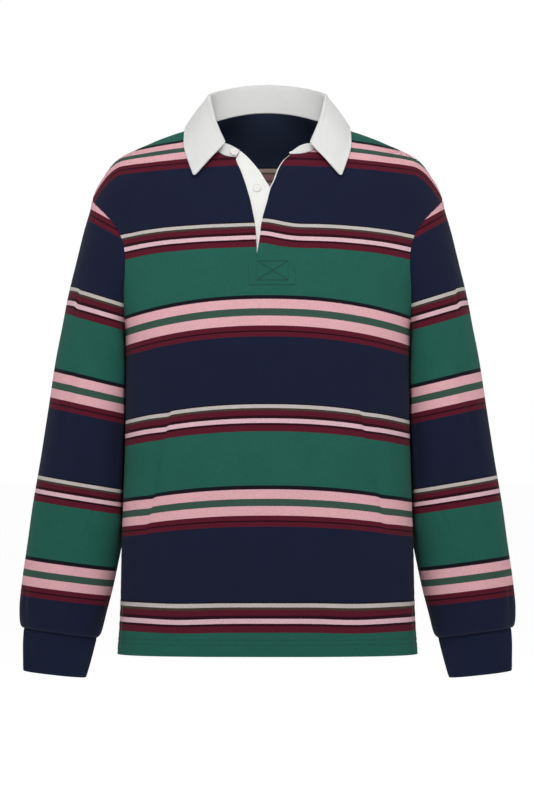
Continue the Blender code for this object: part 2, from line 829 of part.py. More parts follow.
def make_button(name, seat, normal, material):
    # A disc with a raised rim and a dished middle, lying on the cloth
    sides = button_sides
    facing = unit(normal)
    across = unit(np.cross(facing, (0, 0, 1)))
    upright = np.cross(across, facing)
    base = np.array(seat) + facing * seam_gap
    points = []
    for radius, height in button_profile:
        for k in range(sides):
            angle = 2 * math.pi * k / sides
            spoke = across * math.cos(angle) + upright * math.sin(angle)
            points.append(base + spoke * button_radius * radius + facing * button_thickness * height)
    points.append(base)
    points.append(base + facing * button_thickness * button_dish)
    bottom, top = len(points) - 2, len(points) - 1
    faces = grid_quads(len(button_profile), sides, wrap=True)
    last = (len(button_profile) - 1) * sides
    for k in range(sides):
        n = (k + 1) % sides
        faces.append((n, k, bottom))
        faces.append((last + k, last + n, top))
    triangles = []
    for face in faces:
        triangles.append(face[:3])
        if len(face) == 4:
            triangles.append((face[0], face[2], face[3]))
    return add_object(name, points, triangles, material)


def stand_seat(column, row):
    # A place on the stand's outer side, and the way it faces
    here = collar_column(column)
    across = collar_column(column + 1)[row] - here[row]
    facing = unit(np.cross(across, here[row + 1] - here[row]))
    if facing[1] > 0:
        facing = -facing
    seat = spread(here[row], here[row + 1], button_seat_share)
    return seat + facing * (collar_cloth + button_lift), facing


def main():
    for thing in list(bpy.data.objects):
        bpy.data.objects.remove(thing)
    jersey, rib, twill, resin = [finish(name) for name in ("jersey", "rib", "twill", "resin")]
    make_front(jersey)
    make_back(jersey)
    for name, side in (("left", 1), ("right", -1)):
        make_sleeve(f"sleeve_{name}", side, jersey)
        make_cuff(f"cuff_{name}", side, rib)
    make_collar(twill)
    make_underlap(twill)
    make_facing(twill)
    seat, facing = stand_seat(upper_button_column, upper_button_row)
    make_button("button_upper", seat, facing, resin)
    x, z = lower_button_place
    left = slit.read("right_front", z) - underlap_tuck
    seat = placket_point(x, z, underlap_depth(x, left, z) - seam_gap)
    make_button("button_lower", seat, body_normal(seat), resin)


main()
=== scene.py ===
# A striped rugby shirt with a white polo collar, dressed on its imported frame.
import math

import bpy
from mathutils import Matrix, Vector
import numpy as np


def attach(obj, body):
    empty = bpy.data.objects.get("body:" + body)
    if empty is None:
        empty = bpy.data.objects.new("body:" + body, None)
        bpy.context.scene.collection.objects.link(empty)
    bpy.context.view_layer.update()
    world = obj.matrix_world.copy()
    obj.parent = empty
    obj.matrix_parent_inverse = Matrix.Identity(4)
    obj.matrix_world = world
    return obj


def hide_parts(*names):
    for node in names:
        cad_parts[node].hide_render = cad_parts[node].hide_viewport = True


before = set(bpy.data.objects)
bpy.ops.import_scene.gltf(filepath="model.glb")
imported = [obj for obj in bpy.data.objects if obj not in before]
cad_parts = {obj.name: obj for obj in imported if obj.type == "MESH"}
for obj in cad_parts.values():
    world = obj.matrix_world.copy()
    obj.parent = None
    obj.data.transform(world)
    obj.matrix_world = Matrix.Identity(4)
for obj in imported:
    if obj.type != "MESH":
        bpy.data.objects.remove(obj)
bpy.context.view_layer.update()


# Small helpers for shapes
def unit(vectors):
    return vectors / np.maximum(np.linalg.norm(vectors, axis=-1, keepdims=True), 1e-12)


def dot(a, b):
    return (a * b).sum(-1, keepdims=True)


def smoothstep(t):
    t = np.clip(t, 0.0, 1.0)
    return t * t * (3 - 2 * t)


def spread(start, end, share):
    return start + (end - start) * share


def stacked(*columns):
    return np.stack(np.broadcast_arrays(*columns), -1)


def slopesOf(at, values):
    # slopes that keep a curve through these values free of overshoot
    steps = np.diff(at)
    rises = np.diff(values) / steps
    slopes = np.empty(len(at))
    slopes[0], slopes[-1] = rises[0], rises[-1]
    for i in range(1, len(at) - 1):
        before, after = rises[i - 1], rises[i]
        near = 2 * steps[i] + steps[i - 1]
        far = steps[i] + 2 * steps[i - 1]
        slopes[i] = 0 if before * after <= 0 else (near + far) / (near / before + far / after)
    return slopes


class Curve:
    # a smooth curve through each column of a short table, read by its first column
    def __init__(self, rows):
        table = np.array(sorted(rows), float)
        self.at, self.values = table[:, 0], table[:, 1:]
        self.slopes = np.stack([slopesOf(self.at, column) for column in self.values.T], 1)

    def read(self, where):
        where = np.clip(np.asarray(where, float), self.at[0], self.at[-1])
        i = np.clip(np.searchsorted(self.at, where, side="right") - 1, 0, len(self.at) - 2)
        step = (self.at[i + 1] - self.at[i])[..., None]
        t = (where - self.at[i])[..., None] / step
        found = spread(self.values[i], self.values[i + 1], t * t * (3 - 2 * t))
        found += self.slopes[i] * t * (1 - t) ** 2 * step
        found -= self.slopes[i + 1] * t * t * (1 - t) * step
        return np.moveaxis(found, -1, 0)


def evenly(rows):
    # the same table read from 0 at its first row to 1 at its last
    return Curve([(i / (len(rows) - 1), *row) for i, row in enumerate(rows)])


def gridNormals(points, wrap=False):
    down = np.gradient(points, axis=0)
    if wrap:
        across = np.roll(points, -1, axis=1) - np.roll(points, 1, axis=1)
    else:
        across = np.gradient(points, axis=1)
    return unit(np.cross(across, down))


def gridQuads(rows, columns, wrap=False):
    last = columns if wrap else columns - 1
    i, j = np.meshgrid(np.arange(rows - 1) * columns, np.arange(last), indexing="ij")
    k = (j + 1) % columns
    quads = np.stack([i + j, i + k, i + columns + k, i + columns + j], -1)
    return quads.reshape(-1, 4)


def usedOnly(quads):
    # the points that these faces use, and the faces numbered by them
    used, renumbered = np.unique(quads, return_inverse=True)
    return used, renumbered.reshape(-1, 4)


def flattened(*arrays):
    # grids of points or values as plain lists
    return [array.reshape(-1, *array.shape[2:]) for array in arrays]


def arcLengths(points, axis):
    # distance along a grid of points, from its first line
    steps = np.linalg.norm(np.diff(points, axis=axis), axis=-1)
    return np.concatenate([np.zeros_like(np.take(steps, [0], axis)), np.cumsum(steps, axis)], axis)


# Shader writing
class Value:
    # one shader socket, with the sums that Math nodes do
    def __init__(self, finish, socket):
        self.finish, self.socket = finish, socket

    def sum(self, operation, *others):
        values = dict(enumerate((self, *others)))
        return self.finish.node("ShaderNodeMath", {"operation": operation}, values)

    def __add__(self, other):
        return self.sum("ADD", other)

    def __mul__(self, other):
        return self.sum("MULTIPLY", other)

    def __sub__(self, other):
        return self.sum("SUBTRACT", other)

    def __truediv__(self, other):
        return self.sum("DIVIDE", other)

    def wave(self):
        return self.sum("SINE")

    def size(self):
        return self.sum("ABSOLUTE")

    def part(self):
        return self.sum("FRACT")


class Finish:
    # a material made of nodes
    def __init__(self, name, **fixed):
        self.material = bpy.data.materials.new(name)
        self.material.use_nodes = True
        self.nodes = self.material.node_tree.nodes
        self.links = self.material.node_tree.links
        self.shader = self.nodes["Principled BSDF"]
        self.give(self.shader, {"Metallic": 0.0, **fixed})

    def give(self, node, values):
        for key, value in values.items():
            if isinstance(value, Value):
                self.links.new(value.socket, node.inputs[key])
            elif isinstance(value, tuple) and len(value) == 3 and node.inputs[key].type == "RGBA":
                node.inputs[key].default_value = (*value, 1)
            else:
                node.inputs[key].default_value = value

    def node(self, kind, settings=None, values=None, output=0):
        made = self.nodes.new(kind)
        for key, setting in (settings or {}).items():
            if key == "stops":
                self.stops(made.color_ramp, setting)
            else:
                setattr(made, key, setting)
        self.give(made, values or {})
        return Value(self, made.outputs[output])

    def stops(self, ramp, colours):
        ramp.interpolation = "CONSTANT"
        while len(ramp.elements) < len(colours):
            ramp.elements.new(1)
        for element, (place, colour) in zip(ramp.elements, colours):
            element.position = place
            element.color = (*colour, 1)

    def noise(self, vector, scale, detail=2.0, roughness=0.5):
        values = {"Vector": vector, "Scale": scale, "Detail": detail, "Roughness": roughness}
        return self.node("ShaderNodeTexNoise", None, values)

    def parts(self, vector):
        made = self.nodes.new("ShaderNodeSeparateXYZ")
        self.give(made, {0: vector})
        return [Value(self, output) for output in made.outputs]

    def stretched(self, vector, by):
        return self.node("ShaderNodeVectorMath", {"operation": "MULTIPLY"}, {0: vector, 1: by})

    def tinted(self, colour, tone):
        return self.node("ShaderNodeVectorMath", {"operation": "SCALE"}, {0: colour, 3: tone})

    def lie(self):
        # where a place is on the cloth laid flat, in metres
        return self.node("ShaderNodeUVMap", {"uv_map": "lie"})

    def place(self):
        return self.node("ShaderNodeTexCoord", None, output=3)

    def bump(self, height, distance, strength):
        values = {"Height": height, "Distance": distance, "Strength": strength}
        return self.node("ShaderNodeBump", None, values)

    def finished(self, **values):
        self.give(self.shader, {key.replace("_", " "): value for key, value in values.items()})
        return self.material


def srgb(*levels):
    # a colour from its levels of 0 to 255 on a screen
    shares = np.array(levels) / 255
    linear = np.where(shares < 0.04045, shares / 12.92, ((shares + 0.055) / 1.055) ** 2.4)
    return tuple(float(v) for v in linear)


# Meshes
def addObject(name, points, faces, materials):
    mesh = bpy.data.meshes.new(name)
    mesh.from_pydata(points, [], faces)
    for material in materials:
        mesh.materials.append(material)
    mesh.shade_smooth()
    mesh.set_sharp_from_angle(angle=math.radians(50))
    piece = bpy.data.objects.new(name, mesh)
    bpy.context.scene.collection.objects.link(piece)
    return piece


def shell(name, outer, inner, quads, materials, lie, stripe=None, bulge=0.35):
    # a cloth with two skins, joined round its open edges by a rounded rim
    count = len(outer)
    away = ((outer - inner)[quads[:, 0]] * np.cross(
        outer[quads[:, 2]] - outer[quads[:, 0]], outer[quads[:, 3]] - outer[quads[:, 1]])).sum()
    if away < 0:
        quads = quads[:, ::-1]
    edges = np.concatenate([quads[:, [i, (i + 1) % 4]] for i in range(4)])
    faceOf = np.tile(np.arange(len(quads)), 4)
    isOpen = ~np.isin(edges[:, 0] * count + edges[:, 1], edges[:, 1] * count + edges[:, 0])
    edges, faceOf = edges[isOpen], faceOf[isOpen]
    outwards = np.zeros_like(outer)
    push = unit(outer[edges].mean(1) - outer[quads[faceOf]].mean(1))
    np.add.at(outwards, edges[:, 0], push)
    np.add.at(outwards, edges[:, 1], push)
    used = np.unique(edges)
    number = np.full(count, -1)
    number[used] = 2 * count + np.arange(len(used))
    thick = np.linalg.norm((outer - inner)[used], axis=1, keepdims=True)
    middle = (outer + inner)[used] / 2 + unit(outwards[used]) * thick * bulge
    a, b = edges.T
    rim = np.stack([np.stack([b, a, number[a], number[b]], 1),
                    np.stack([number[b], number[a], a + count, b + count], 1)], 1).reshape(-1, 4)
    points = np.vstack([outer, inner, middle])
    faces = np.vstack([quads, quads[:, ::-1] + count, rim])
    piece = addObject(name, points, faces, materials)
    mesh = piece.data
    slots = np.zeros(len(faces), np.int32)
    slots[len(quads):2 * len(quads)] = len(materials) - 1
    mesh.polygons.foreach_set("material_index", slots)
    flatPlace = np.vstack([lie, lie, lie[used]])
    layer = mesh.uv_layers.new(name="lie")
    layer.uv.foreach_set("vector", flatPlace[faces.reshape(-1)].astype(np.float32).reshape(-1))
    if stripe is not None:
        made = mesh.attributes.new("stripe", "FLOAT", "POINT")
        heights = np.concatenate([stripe, stripe, stripe[used]])
        made.data.foreach_set("value", heights.astype(np.float32))
    return piece


def stitchRows(name, lines, material, pitch=0.0030, length=0.0023, thick=0.00032):
    # sewn lines: each is its points and the way the cloth faces there
    points, faces = [], []
    for line, facing in lines:
        run = arcLengths(line[None], 1)[0]
        total = run[-1]
        number = max(int(total / pitch), 1)
        for middle in (np.arange(number) + 0.5) * total / number:
            at = middle + np.array([-0.5, -0.22, 0.22, 0.5]) * length
            along = np.stack([np.interp(at, run, line[:, k]) for k in range(3)], 1)
            up = unit(np.array([np.interp(middle, run, facing[:, k]) for k in range(3)]))
            side = unit(np.cross(up, along[3] - along[0]))
            start = len(points)
            points.append(along[0] - up * thick * 0.6)
            for k in (1, 2):
                centre = along[k] + up * thick * 0.35
                points += [centre + way * thick for way in (side, up, -side, -up)]
            points.append(along[3] - up * thick * 0.6)
            for k in range(4):
                n = (k + 1) % 4
                faces.append((start, start + 1 + n, start + 1 + k))
                faces.append((start + 1 + k, start + 1 + n, start + 5 + n, start + 5 + k))
                faces.append((start + 9, start + 5 + k, start + 5 + n))
    return addObject(name, np.array(points), faces, [material])


def dress(piece, node=None):
    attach(piece, "root")
    if node:
        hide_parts(node)
    return piece


# The stripes of the cloth, from the hem up, in metres of the repeat
print("finishes")
stripes = {
    "repeat": 0.2676,
    "start": -0.0400,  # the lowest green begins under the hem
    "bands": (
        (0.0730, "green"), (0.0076, "maroon"), (0.0032, "plum"), (0.0068, "lilac"),
        (0.0036, "plum"), (0.0074, "maroon"), (0.0036, "olive"), (0.0048, "cream"),
        (0.0026, "ink"), (0.1000, "navy"), (0.0068, "maroon"), (0.0013, "plum"),
        (0.0069, "maroon"), (0.0122, "pink"), (0.0090, "bottle"), (0.0132, "pink"),
        (0.0056, "ink"),
    ),
    "colours": {  # outside, and inside brightened as painted light, for the light that comes in at the neck
        "green": ((35, 93, 80), (45, 104, 91)), "maroon": ((88, 22, 40), (172, 123, 127)),
        "plum": ((42, 8, 22), (120, 94, 97)), "lilac": ((224, 184, 194), (185, 153, 153)),
        "olive": ((66, 58, 50), (108, 102, 84)), "cream": ((195, 187, 183), (198, 174, 162)),
        "navy": ((24, 29, 52), (42, 51, 74)), "pink": ((227, 173, 181), (240, 190, 196)),
        "bottle": ((57, 84, 73), (66, 97, 87)), "ink": ((20, 18, 28), (34, 37, 52)),
    },
}
jerseyKnit = {
    "wale": 0.0009, "course": 0.0011,  # stitch width and height
    "yarn": 900.0, "yarnTone": 0.16, "edgeWander": 0.0007,
    "streakScale": (420.0, 160.0, 1.0), "streak": 0.20,
    "mottleScale": 22.0, "mottle": 0.20, "speckleScale": 380.0, "speckle": 0.30,
    "loopHeight": 0.35, "yarnHeight": 0.5, "bump": 0.00022, "bumpShare": 0.55,
}
ribbing = {
    "colour": (24, 31, 55), "insidePaintedShade": 0.7, "loop": 0.0012, "yarn": 1100.0, "yarnTone": 0.3,
    "mottleScale": 30.0, "mottle": 0.15, "bump": 0.0002, "bumpShare": 0.5,
}
twillWeave = {
    "collar": (226, 226, 225), "placket": (243, 243, 240), "pitch": 0.0010, "slant": 0.6,
    "slubScale": (60.0, 900.0, 1.0), "slub": 0.10, "mottleScale": 40.0, "mottle": 0.05,
    "lineTone": 0.012, "slubHeight": 1.5, "bump": 0.00016, "bumpShare": 0.5,
}
threads = {
    # the box thread is near-black: its own dark green, darkened further as painted shade of the
    # sunken stitch lines
    "green": (18, 54, 47), "box": (4, 20, 17), "dark": (20, 25, 42), "pale": (96, 120, 112),
    "white": (214, 211, 205),
}


def fabric(name, roughness, sheen, sheenRoughness, specular):
    fixed = {"Sheen Weight": sheen, "Sheen Roughness": sheenRoughness}
    return Finish(name, Roughness=roughness, **fixed, **{"Specular IOR Level": specular})


def stripedJersey(name, side):
    # fine cotton jersey with yarn-dyed stripes: side 0 is the outside and 1 the inside, whose
    # stripe colours are lifted as painted light
    knit = jerseyKnit
    made = fabric(name, 0.92, 0.03, 0.45, 0.12)
    lie = made.lie()
    across, along = made.parts(lie)[:2]
    height = made.node("ShaderNodeAttribute", {"attribute_name": "stripe"}, output=2)
    yarn = made.noise(lie, knit["yarn"])
    height = height + (yarn - 0.5) * knit["edgeWander"]
    stops, place = [], 0.0
    for width, colour in stripes["bands"]:
        stops.append((place / stripes["repeat"], srgb(*stripes["colours"][colour][side])))
        place += width
    share = ((height - stripes["start"]) / stripes["repeat"]).part()
    colour = made.node("ShaderNodeValToRGB", {"stops": stops}, {"Fac": share})
    streak = made.noise(made.stretched(lie, knit["streakScale"]), 1.0, 3.0)
    mottle = made.noise(lie, knit["mottleScale"], 4.0, 0.6)
    speckle = made.noise(lie, knit["speckleScale"])
    tone = (streak - 0.5) * knit["streak"] + (mottle - 0.5) * knit["mottle"]
    tone = tone + (yarn - 0.5) * knit["yarnTone"] + (speckle - 0.5) * knit["speckle"] + 1.0
    # each wale is a pair of slanting loops
    wale = across / knit["wale"]
    leaning = (wale.part() - 0.5).size()
    loop = ((along / knit["course"] + leaning) * (2 * math.pi)).wave()
    ridge = (wale * math.pi).wave().size()
    relief = ridge + loop * knit["loopHeight"] + yarn * knit["yarnHeight"]
    normal = made.bump(relief, knit["bump"], knit["bumpShare"])
    return made.finished(Base_Color=made.tinted(colour, tone), Normal=normal)


def ribKnit(name, paintedShade=1.0):
    # the ribs are in the mesh, and the loops on them are here
    made = fabric(name, 0.92, 0.03, 0.45, 0.12)
    lie = made.lie()
    along = made.parts(lie)[1]
    yarn = made.noise(lie, ribbing["yarn"])
    mottle = made.noise(lie, ribbing["mottleScale"], 3.0)
    tone = (yarn - 0.5) * ribbing["yarnTone"] + (mottle - 0.5) * ribbing["mottle"] + 1.0
    # the factor darkens the inside skin's colour: painted shade
    colour = tuple(v * paintedShade for v in srgb(*ribbing["colour"]))
    loops = ((along / ribbing["loop"]) * (2 * math.pi)).wave()
    normal = made.bump(loops + yarn, ribbing["bump"], ribbing["bumpShare"])
    return made.finished(Base_Color=made.tinted(colour, tone), Normal=normal)


def whiteTwill(name, colour):
    # firm cotton twill with its slanting lines
    weave = twillWeave
    made = fabric(name, 0.85, 0.03, 0.4, 0.2)
    lie = made.lie()
    across, along = made.parts(lie)[:2]
    slub = made.noise(made.stretched(lie, weave["slubScale"]), 1.0, 3.0)
    mottle = made.noise(lie, weave["mottleScale"], 3.0)
    lines = (((across + along * weave["slant"]) / weave["pitch"]) * (2 * math.pi)).wave()
    tone = (slub - 0.5) * weave["slub"] + (mottle - 0.5) * weave["mottle"] + 1.0
    tone = tone + lines * weave["lineTone"]
    normal = made.bump(lines + slub * weave["slubHeight"], weave["bump"], weave["bumpShare"])
    return made.finished(Base_Color=made.tinted(srgb(*colour), tone), Normal=normal)


def sewingThread(name, colour):
    made = Finish(name, Roughness=0.6, **{"Sheen Weight": 0.1, "Specular IOR Level": 0.4})
    twist = made.noise(made.place(), 2500.0)
    colour = made.tinted(srgb(*colour), (twist - 0.5) * 0.35 + 1.0)
    return made.finished(Base_Color=colour, Normal=made.bump(twist, 0.0001, 0.5))


def buttonResin(name, colour):
    made = Finish(name, Roughness=0.38, **{"Coat Weight": 0.25, "Coat Roughness": 0.25})
    cloud = made.noise(made.place(), 420.0, 3.0)
    colour = made.tinted(srgb(*colour), (cloud - 0.5) * 0.10 + 1.0)
    return made.finished(Base_Color=colour, Roughness=cloud * 0.12 + 0.32)


# the inside skin takes the brightened inside colours: painted light
jerseySides = [stripedJersey("jersey", 0), stripedJersey("jerseyInsidePaintedLight", 1)]
# the rib's inside skin is a darker copy of the same navy: painted shade
ribSides = [ribKnit("navyRib"), ribKnit("navyRibInsidePaintedShade", ribbing["insidePaintedShade"])]
twill = whiteTwill("whiteTwill", twillWeave["collar"])
stripTwill = whiteTwill("placketTwill", twillWeave["placket"])
sewn = {kind: sewingThread(kind + "Thread", colour) for kind, colour in threads.items()}
resin = buttonResin("buttonResin", (230, 227, 222))

# The body: front and back
print("front and back")
body = {
    # height, half width, y of the side seam, depth to the front and to the back, fullness
    "sections": (
        (-0.7030, 0.2035, -0.008, 0.104, 0.112, 2.30),
        (-0.6400, 0.2000, -0.008, 0.106, 0.113, 2.30),
        (-0.5530, 0.1980, -0.009, 0.109, 0.114, 2.30),
        (-0.4800, 0.1954, -0.010, 0.111, 0.115, 2.25),
        (-0.3600, 0.1925, -0.010, 0.115, 0.118, 2.20),
        (-0.2750, 0.1930, -0.009, 0.118, 0.122, 2.20),
        (-0.2000, 0.2110, -0.005, 0.117, 0.124, 2.20),
        (-0.1420, 0.2250, -0.001, 0.112, 0.120, 2.20),
        (-0.0870, 0.2378, 0.003, 0.101, 0.106, 2.18),
        (-0.0716, 0.2329, 0.004, 0.096, 0.101, 2.16),
        (-0.0554, 0.2234, 0.005, 0.089, 0.096, 2.15),
        (-0.0310, 0.2040, 0.006, 0.074, 0.086, 2.15),
        (-0.0149, 0.1730, 0.007, 0.060, 0.076, 2.15),
        (0.0013, 0.1335, 0.007, 0.042, 0.067, 2.10),
        (0.0190, 0.0790, 0.007, 0.022, 0.0575, 2.10),
        (0.0300, 0.0560, 0.007, 0.010, 0.0520, 2.10),
        (0.0400, 0.0400, 0.007, 0.006, 0.0480, 2.10),
    ),
    "hemHeight": -0.7015, "hemSideRise": -0.0005, "underarm": -0.275, "shoulderPoint": -0.087,
    # front and back: depth, roundness, lean to the shoulder
    "armholes": {-1: (0.0620, 1.2, 1.3), 1: (0.0600, 0.8, 1.0)},
    "neckSide": 0.019, "neckBack": 0.0347, "neckFront": {-1: -0.0310, 1: -0.0270}, "neckScoop": 2.5,
    "cloth": 0.0016, "seamGap": 0.0003, "layerGap": 0.00035, "seamDip": 0.0006,
    "ventTop": -0.632, "ventSpread": 0.0022,
    "hemBand": 0.0220, "hemLines": (0.0155, 0.0220), "hemThick": 0.0004,
    "hemTrough": 0.00035, "troughWidth": 0.0011,
    "pucker": 0.0003, "seamNear": 0.94, "dipStart": 0.985,
    # two waves each: x, z and side of the first, x, z and side of the second, height
    "wobbles": ((61, 23, 1, -19, 47, 0, 0.0005), (138, -71, 0, 52, 93, 2, 0.0002)),
    "frontFolds": (  # top x and z, bottom x and z, half width, depth, how far it leans into a ridge
        (-0.150, -0.370, -0.164, -0.570, 0.015, 0.0034, 0.3),
        (0.141, -0.350, 0.156, -0.560, 0.016, 0.0030, -0.3),
        (-0.116, -0.230, -0.134, -0.430, 0.014, 0.0022, 0.2),
        (0.112, -0.240, 0.130, -0.420, 0.013, 0.0024, -0.2),
        (-0.187, -0.058, -0.183, -0.160, 0.008, 0.0030, 0.0),
        (0.188, -0.060, 0.183, -0.155, 0.008, 0.0028, 0.0),
        (0.0406, -0.0480, 0.0190, -0.0760, 0.0045, 0.0018, 0.2),
        (-0.127, -0.330, -0.168, -0.545, 0.0045, 0.0016, 0.6),
        (0.149, -0.440, 0.158, -0.545, 0.0045, 0.0014, -0.6),
        (0.121, -0.345, 0.137, -0.430, 0.005, 0.0012, -0.5),
        (-0.060, -0.420, -0.074, -0.690, 0.022, 0.0012, 0.0),
        (0.052, -0.470, 0.061, -0.700, 0.024, 0.0011, 0.0),
        (-0.100, -0.090, -0.128, -0.230, 0.018, 0.0012, 0.2),
        (0.104, -0.095, 0.131, -0.240, 0.018, 0.0012, -0.2),
        (0.060, -0.070, 0.030, -0.150, 0.012, 0.0010, 0.2),
        (-0.178, -0.500, -0.176, -0.690, 0.010, 0.0014, 0.2),
        (0.180, -0.520, 0.176, -0.690, 0.010, 0.0013, -0.2),
    ),
    "backFolds": (
        (-0.140, -0.200, -0.158, -0.480, 0.017, 0.0034, 0.3),
        (0.136, -0.230, 0.152, -0.520, 0.016, 0.0030, -0.3),
        (-0.052, -0.300, -0.060, -0.620, 0.018, 0.0022, 0.1),
        (0.064, -0.260, 0.058, -0.560, 0.017, 0.0024, 0.1),
        (-0.180, -0.070, -0.178, -0.190, 0.010, 0.0028, 0.0),
        (0.181, -0.075, 0.177, -0.180, 0.010, 0.0026, 0.0),
        (-0.122, -0.150, -0.150, -0.330, 0.006, 0.0014, 0.5),
        (0.126, -0.170, 0.147, -0.350, 0.006, 0.0013, -0.5),
        (0.004, -0.380, -0.006, -0.690, 0.022, 0.0014, 0.0),
        (-0.112, -0.430, -0.120, -0.690, 0.014, 0.0014, 0.2),
        (0.114, -0.470, 0.118, -0.690, 0.014, 0.0013, -0.2),
        (-0.030, -0.040, -0.082, -0.170, 0.016, 0.0012, 0.2),
        (0.034, -0.045, 0.088, -0.180, 0.016, 0.0012, -0.2),
    ),
}
slit = {
    "edges": (  # height, right front's edge, left front's edge, button stand's free edge
        (-0.0149, -0.0439, 0.0400, -0.0439),
        (-0.0270, -0.0439, 0.0312, -0.0292),
        (-0.0338, -0.0430, 0.0236, -0.0228),
        (-0.0473, -0.0374, 0.0155, -0.0118),
        (-0.0621, -0.0320, 0.0101, -0.0025),
        (-0.0736, -0.0283, 0.0047, 0.0042),
        (-0.0918, -0.0232, 0.0000, 0.0090),
        (-0.1080, -0.0199, -0.0047, 0.0110),
        (-0.1215, -0.0174, -0.0078, 0.0120),
        (-0.1404, -0.0157, -0.0099, 0.0128),
        (-0.1560, -0.0152, -0.0124, 0.0130),
        (-0.1710, -0.0146, -0.0146, 0.0130),
        (-0.2100, -0.0146, -0.0146, 0.0130),
    ),
    "bottomX": -0.0146, "bottomHeight": -0.171,
}
# rows of the pattern grid, from 0 at the hem: underarm, end of the slit, shoulder point, neck
sideRows, slitRow, armholeTop, neckRow = 14, 19, 25, 31
armholeRows, shoulderRows = armholeTop - sideRows, neckRow - armholeTop

bodyCurve = Curve(body["sections"])
slitCurve = Curve(slit["edges"])


def bodyLevel(x, y, z):
    halfWidth, sideY, frontDepth, backDepth, fullness = bodyCurve.read(z)
    offset = y - sideY
    depth = np.where(offset < 0, frontDepth, backDepth)
    total = (abs(x) / halfWidth) ** fullness + (abs(offset) / depth) ** fullness
    return total ** (1 / fullness) - 1


def bodyGradient(points, step=0.0005):
    x, y, z = np.moveaxis(points, -1, 0)
    return stacked(bodyLevel(x + step, y, z) - bodyLevel(x - step, y, z),
                   bodyLevel(x, y + step, z) - bodyLevel(x, y - step, z),
                   bodyLevel(x, y, z + step) - bodyLevel(x, y, z - step)) / (2 * step)


def bodyNormal(points):
    return unit(bodyGradient(points))


def bodyDistance(points):
    return bodyLevel(*np.moveaxis(points, -1, 0)) / np.linalg.norm(bodyGradient(points), axis=-1)


def bodyY(x, z, side):
    halfWidth, sideY, frontDepth, backDepth, fullness = bodyCurve.read(z)
    across = np.minimum(abs(x) / halfWidth, 1.0)
    depth = frontDepth if side < 0 else backDepth
    return sideY + side * depth * (1 - across**fullness) ** (1 / fullness)


def bodyX(y, z):
    halfWidth, sideY, frontDepth, backDepth, fullness = bodyCurve.read(z)
    offset = y - sideY
    share = np.minimum(abs(offset) / np.where(offset < 0, frontDepth, backDepth), 1.0)
    return halfWidth * (1 - share**fullness) ** (1 / fullness)


def foldDepth(folds, x, z):
    total = np.zeros(np.broadcast(x, z).shape)
    for topX, topZ, bottomX, bottomZ, halfWidth, depth, lean in folds:
        along = np.clip((topZ - z) / (topZ - bottomZ), 0, 1)
        away = (x - spread(topX, bottomX, along)) / halfWidth
        trough = np.exp(-(away**2)) - abs(lean) * np.exp(-((away - math.copysign(1.6, lean)) ** 2))
        total += depth * trough * np.sin(math.pi * along) ** 2
    return total


def armholePoint(row, side):
    angle = math.pi * np.clip(row, 0, armholeRows) / armholeRows
    middle = (body["underarm"] + body["shoulderPoint"]) / 2
    half = (body["shoulderPoint"] - body["underarm"]) / 2
    z = middle - half * np.cos(angle)
    depth, roundness, lean = body["armholes"][side]
    bow = np.maximum(np.sin(math.pi * (angle / math.pi) ** lean), 0.0) ** roundness
    y = bodyCurve.read(z)[1] + side * depth * bow
    return stacked(bodyX(y, z), y, z)


def edgePoint(row, side):
    # the outer edge of a panel at +X: side seam, armhole, then shoulder seam
    bottom = body["hemHeight"] + body["hemSideRise"]
    sideZ = spread(bottom, body["underarm"], np.clip(row / sideRows, 0, 1))
    share = np.clip((row - armholeTop) / shoulderRows, 0, 1)
    shoulderZ = spread(body["shoulderPoint"], body["neckSide"], share**1.25)
    z = np.where(row < sideRows, sideZ, shoulderZ)
    halfWidth, sideY = bodyCurve.read(z)[:2]
    seam = stacked(halfWidth, sideY, z)
    isArmhole = (row >= sideRows) & (row <= armholeTop)
    return np.where(isArmhole[..., None], armholePoint(row - sideRows, side), seam)


def centreHeight(row, top):
    shoulder = body["shoulderPoint"] + 0.004
    knots = (body["hemHeight"], body["underarm"], slit["bottomHeight"], shoulder, top)
    return np.interp(row, (0, sideRows, slitRow, armholeTop, neckRow), knots)


def frontPoint(row, share, half):
    # share runs from the middle, or the slit's edge, to the side. Half -1 is the wearer's right.
    row, share = np.broadcast_arrays(np.asarray(row, float), np.asarray(share, float))
    z = centreHeight(row, body["neckFront"][half])
    x = np.where(z > slit["bottomHeight"], slitCurve.read(z)[0 if half < 0 else 1], slit["bottomX"])
    edge = edgePoint(row, -1) * np.array([half, 1, 1])
    across = np.sin(math.pi / 2 * share)
    above = np.maximum(row - armholeTop, 0) / shoulderRows
    scoop = share ** (1 + (body["neckScoop"] - 1) * above**1.5)
    z = spread(z, edge[..., 2], np.where(row > armholeTop, scoop, across))
    x = spread(x, edge[..., 0], across)
    return np.where((share >= 1)[..., None], edge, stacked(x, bodyY(x, z, -1), z))


def backPoint(row, share):
    # share runs from -1 at the wearer's right to 1 at the left
    row, share = np.broadcast_arrays(np.asarray(row, float), np.asarray(share, float))
    edge = edgePoint(row, 1) * stacked(np.where(share < 0, -1, 1), 1, 1)
    across = np.sin(math.pi / 2 * abs(share))
    z = spread(centreHeight(row, body["neckBack"]), edge[..., 2], across**2)
    x = edge[..., 0] * across
    return np.where((abs(share) >= 1)[..., None], edge, stacked(x, bodyY(x, z, 1), z))


def clothDepth(x, z, side):
    # folds and the small unevenness of hanging jersey
    depth = foldDepth(body["frontFolds" if side < 0 else "backFolds"], x, z)
    for firstX, firstZ, firstSide, thenX, thenZ, thenSide, height in body["wobbles"]:
        first = np.sin(x * firstX + z * firstZ + side * firstSide)
        depth += first * np.sin(x * thenX + z * thenZ + side * thenSide) * height
    return depth


def hemRelief(z):
    # the turned hem is a little thicker, with a trough at each needle line
    rise = z - body["hemHeight"]
    relief = body["hemThick"] * (1 - smoothstep((rise - body["hemBand"]) / 0.002))
    for line in body["hemLines"]:
        relief -= body["hemTrough"] * np.exp(-(((rise - line) / body["troughWidth"]) ** 2))
    return relief


